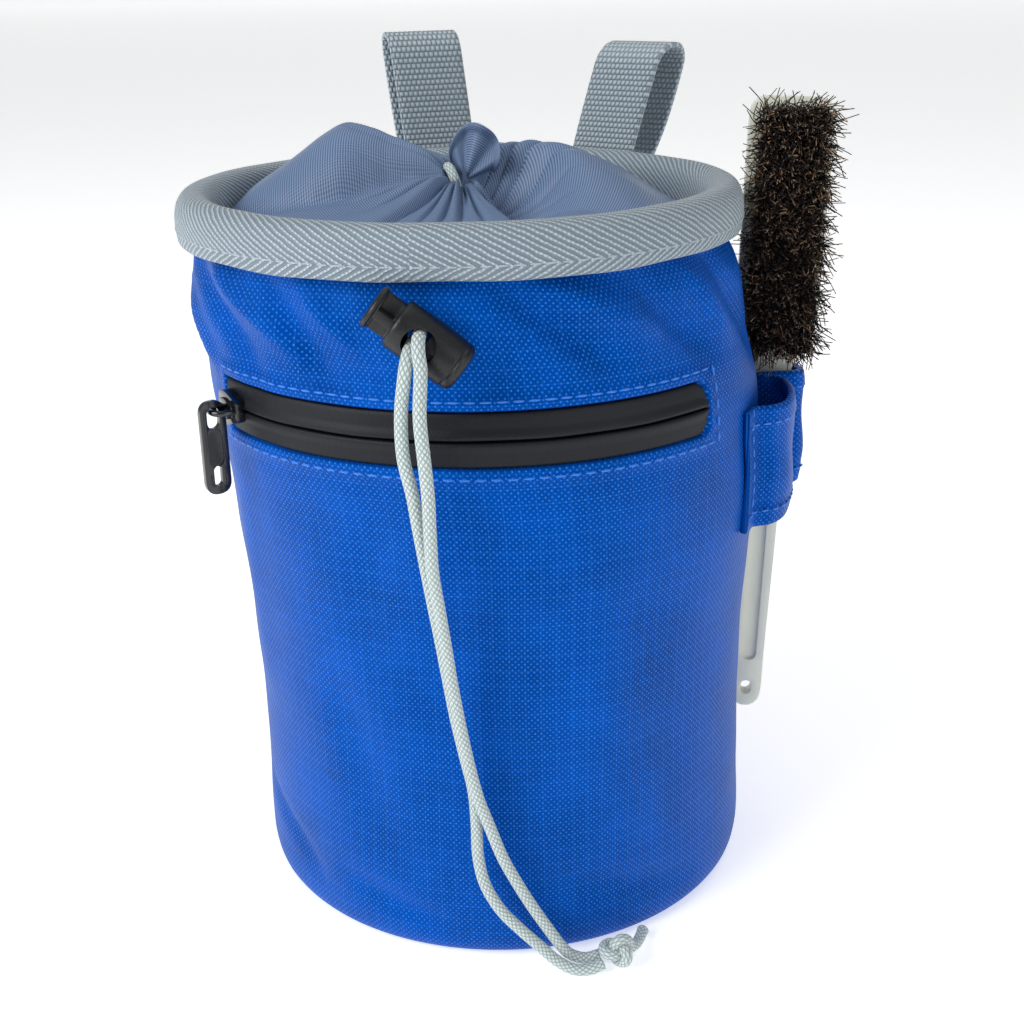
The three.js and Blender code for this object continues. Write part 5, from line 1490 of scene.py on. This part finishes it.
class CHALKBAG_OT_cords(bpy.types.Operator):
    """Makes the doubled drawcord below the lock, with its overhand knot and short tail"""

    bl_idname = "chalkbag.cords"
    bl_label = "Drawcord"

    def execute(self, context):
        thick = mm(size().cord_diameter)
        turns = np.linspace(0.35, 2 * math.pi - 0.1, 150)
        knot = np.stack([
            np.sin(turns) + 2 * np.sin(2 * turns),
            np.cos(turns) - 2 * np.cos(2 * turns),
            -1.7 * np.sin(3 * turns),
        ], -1)
        tilt = np.array(Matrix.Rotation(math.radians(58), 3, "X") @ Matrix.Rotation(math.radians(25), 3, "Z"))
        knot = knot @ tilt.T * (1.12, 0.86, 0.98) + KNOT_CENTRE + (0, 0, 0.5)
        knot[:, 2] = np.maximum(knot[:, 2], thick / 2)
        leaves = knot[-1] * 0.5 + np.array([36.4, -60, 3.2]) * 0.5
        tail = through([knot[-1], leaves, (36.8, -59.4, 3.0), (38.4, -55.6, 2.0), (39.6, -50.4, 1.6)], 60)
        line = through(np.vstack([knot, tail[3:]]), 260)
        swell = np.ones(len(line))
        swell[-7:] = np.linspace(1.0, 1.12, 7)
        swell[-1] = 0.8
        knot = show(tube("knot", line, thick / 2 * 0.97, 20, swell), "knot", "cord", nodes=("cord_knot",))
        for name, start, across, points in (
            ("left", (-6.512, -64.280, 151.147), -1.5, LEFT_STRAND),
            ("right", (-4.708, -64.232, 153.543), 1.5, RIGHT_STRAND),
        ):
            line, piece = strand_line(start, across, points), f"strand_{name}"
            cord = show(tube(piece, line, thick / 2, 20), piece, "cord", nodes=(f"cord_{name}",))
        return {"FINISHED"}


class CHALKBAG_OT_seams(bpy.types.Operator):
    """Makes the seams' stitches: along the binding and down the back"""

    bl_idname = "chalkbag.seams"
    bl_label = "Seams"

    def execute(self, context):
        angles = np.radians(np.linspace(-180, 180, 500))
        radius = mm(size().rim_diameter) / 2 + 0.02
        x, y = lean()[0] + radius * np.sin(angles), lean()[1] - radius * np.cos(angles)
        height = np.full(len(angles), mm(size().height) - mm(size().binding_height) + 3.1)
        sew("binding_stitches", [np.stack([x, y, height], -1)], "grey_stitch", thread=0.2 * MM)
        levels = np.linspace(8, mm(size().height) - 12, 160)
        sew("back_stitches", [wall(angle, levels, 0.12) for angle in (171.6, 168.2)])
        return {"FINISHED"}


# Where the camera stands in millimetres; how far its view is turned about the bag, then its yaw, pitch and
# roll in degrees.
CAMERA_PLACE = (46.76, -341.9, 220.4)
CAMERA_TURN = (9.0, 1.772, 20.84, -1.139)
# The lights face the bag's middle, in metres.
MIDDLE = (0, 0, 0.09)


class CHALKBAG_OT_stage(bpy.types.Operator):
    """Makes the pale floor that curves up behind, the studio lights and the camera"""

    bl_idname = "chalkbag.stage"
    bl_label = "Stage"

    def execute(self, context):
        stage = context.scene.bag_stage
        # In metres: level to 9 behind the bag, then up round a bend.
        turns = np.linspace(0.1, math.pi / 2, 14)
        bend = [(-3.0, 0.0), (9.0, 0.0), *((9.0 + 3.0 * math.sin(a), 3.0 - 3.0 * math.cos(a)) for a in turns)]
        bend.append((12.0, 6.0))
        rows = [[(x * 1000, y * 1000, z * 1000 - 0.05) for x in np.linspace(-8, 8, 9)] for y, z in bend]
        across, along = np.linspace(-3000, 3000, 9)[None, :], np.linspace(0, 7000, len(rows))[:, None]
        mesh = skin("floor", rows, across, along)
        floor = placed("floor", mesh)
        mesh.materials.append(finish("floor"))
        for name, power, wide, place in (
            ("key", stage.key_power, 0.9, (-0.85, -0.75, 0.75)),
            ("fill", stage.fill_power, 0.9, (0.95, -0.7, 0.5)),
            ("top", stage.top_power, 1.2, (0.1, 0.1, 1.3)),
        ):
            light = bpy.data.lights.new(name, "AREA")
            light.shape, light.size, light.energy = "DISK", wide, power
            stand = placed(name, light)
            stand.location = place
            stand.visible_camera = False
            stand.rotation_euler = (Vector(place) - Vector(MIDDLE)).to_track_quat("Z", "Y").to_euler()
        world = bpy.data.worlds.new("studio")
        context.scene.world = world
        world.use_nodes = True
        tree = world.node_tree
        tree.nodes.clear()
        lighting = add(tree, "ShaderNodeBackground", {"Color": (0.96, 0.98, 1.0, 1.0), "Strength": 0.32})
        # What is seen past the floor is as white as the floor.
        seen = add(tree, "ShaderNodeBackground", {"Color": (1, 1, 1, 1), "Strength": 1.0})
        ray = add(tree, "ShaderNodeLightPath", out="Is Camera Ray")
        either = add(tree, "ShaderNodeMixShader", (ray, lighting, seen))
        add(tree, "ShaderNodeOutputWorld", {"Surface": either})
        turned, yaw, pitch, roll = (math.radians(v) for v in CAMERA_TURN)
        forward = Vector((math.sin(yaw) * math.cos(pitch), math.cos(yaw) * math.cos(pitch), -math.sin(pitch)))
        right = Vector((math.cos(yaw), -math.sin(yaw), 0))
        up = right.cross(forward)
        right, up = math.cos(roll) * right + math.sin(roll) * up, math.cos(roll) * up - math.sin(roll) * right
        spin = Matrix.Rotation(turned, 3, "Z")
        axes = [spin @ right, spin @ up, -(spin @ forward)]
        camera = bpy.data.cameras.new("photo_view")
        camera.lens, camera.sensor_width, camera.sensor_fit = stage.lens, 36, "HORIZONTAL"
        camera.clip_start = 0.01
        viewer = placed("photo_view", camera)
        faced = Matrix(axes).transposed().to_4x4()
        viewer.matrix_world = Matrix.Translation(Vector(CAMERA_PLACE) * MM) @ faced
        context.scene.camera = viewer
        context.scene.view_settings.view_transform = "Standard"
        return {"FINISHED"}


STEPS = (
    CHALKBAG_OT_stage, CHALKBAG_OT_cords, CHALKBAG_OT_shell, CHALKBAG_OT_binding, CHALKBAG_OT_closure,
    CHALKBAG_OT_zip, CHALKBAG_OT_slider, CHALKBAG_OT_loops, CHALKBAG_OT_holder, CHALKBAG_OT_seams,
    CHALKBAG_OT_brush_handle, CHALKBAG_OT_bristles, CHALKBAG_OT_cord_lock,
)


class CHALKBAG_PT_pieces(bpy.types.Panel):
    """Lists the steps that make the chalk bag"""

    bl_idname = "CHALKBAG_PT_pieces"
    bl_label = "Chalk bag"
    bl_space_type = "VIEW_3D"
    bl_region_type = "UI"
    bl_category = "Chalk bag"

    def draw(self, context):
        for made in STEPS:
            self.layout.operator(made.bl_idname)
        for settings in ("bag_sizes", "bag_brush", "bag_colours", "bag_stage"):
            group = getattr(context.scene, settings)
            column = self.layout.column()
            for name in group.__annotations__:
                column.prop(group, name)


GROUPS = {
    "bag_sizes": BagSizes, "bag_brush": BrushSizes, "bag_colours": BagColours, "bag_stage": StageSettings,
}


def register():
    for made in (*GROUPS.values(), *STEPS, CHALKBAG_PT_pieces):
        bpy.utils.register_class(made)
    for name, group in GROUPS.items():
        setattr(bpy.types.Scene, name, PointerProperty(type=group))


def unregister():
    for name in GROUPS:
        delattr(bpy.types.Scene, name)
    for made in reversed((*GROUPS.values(), *STEPS, CHALKBAG_PT_pieces)):
        bpy.utils.unregister_class(made)


def main():
    register()
    for made in STEPS:
        group, name = made.bl_idname.split(".")
        getattr(getattr(bpy.ops, group), name)()


if __name__ == "__main__":
    main()
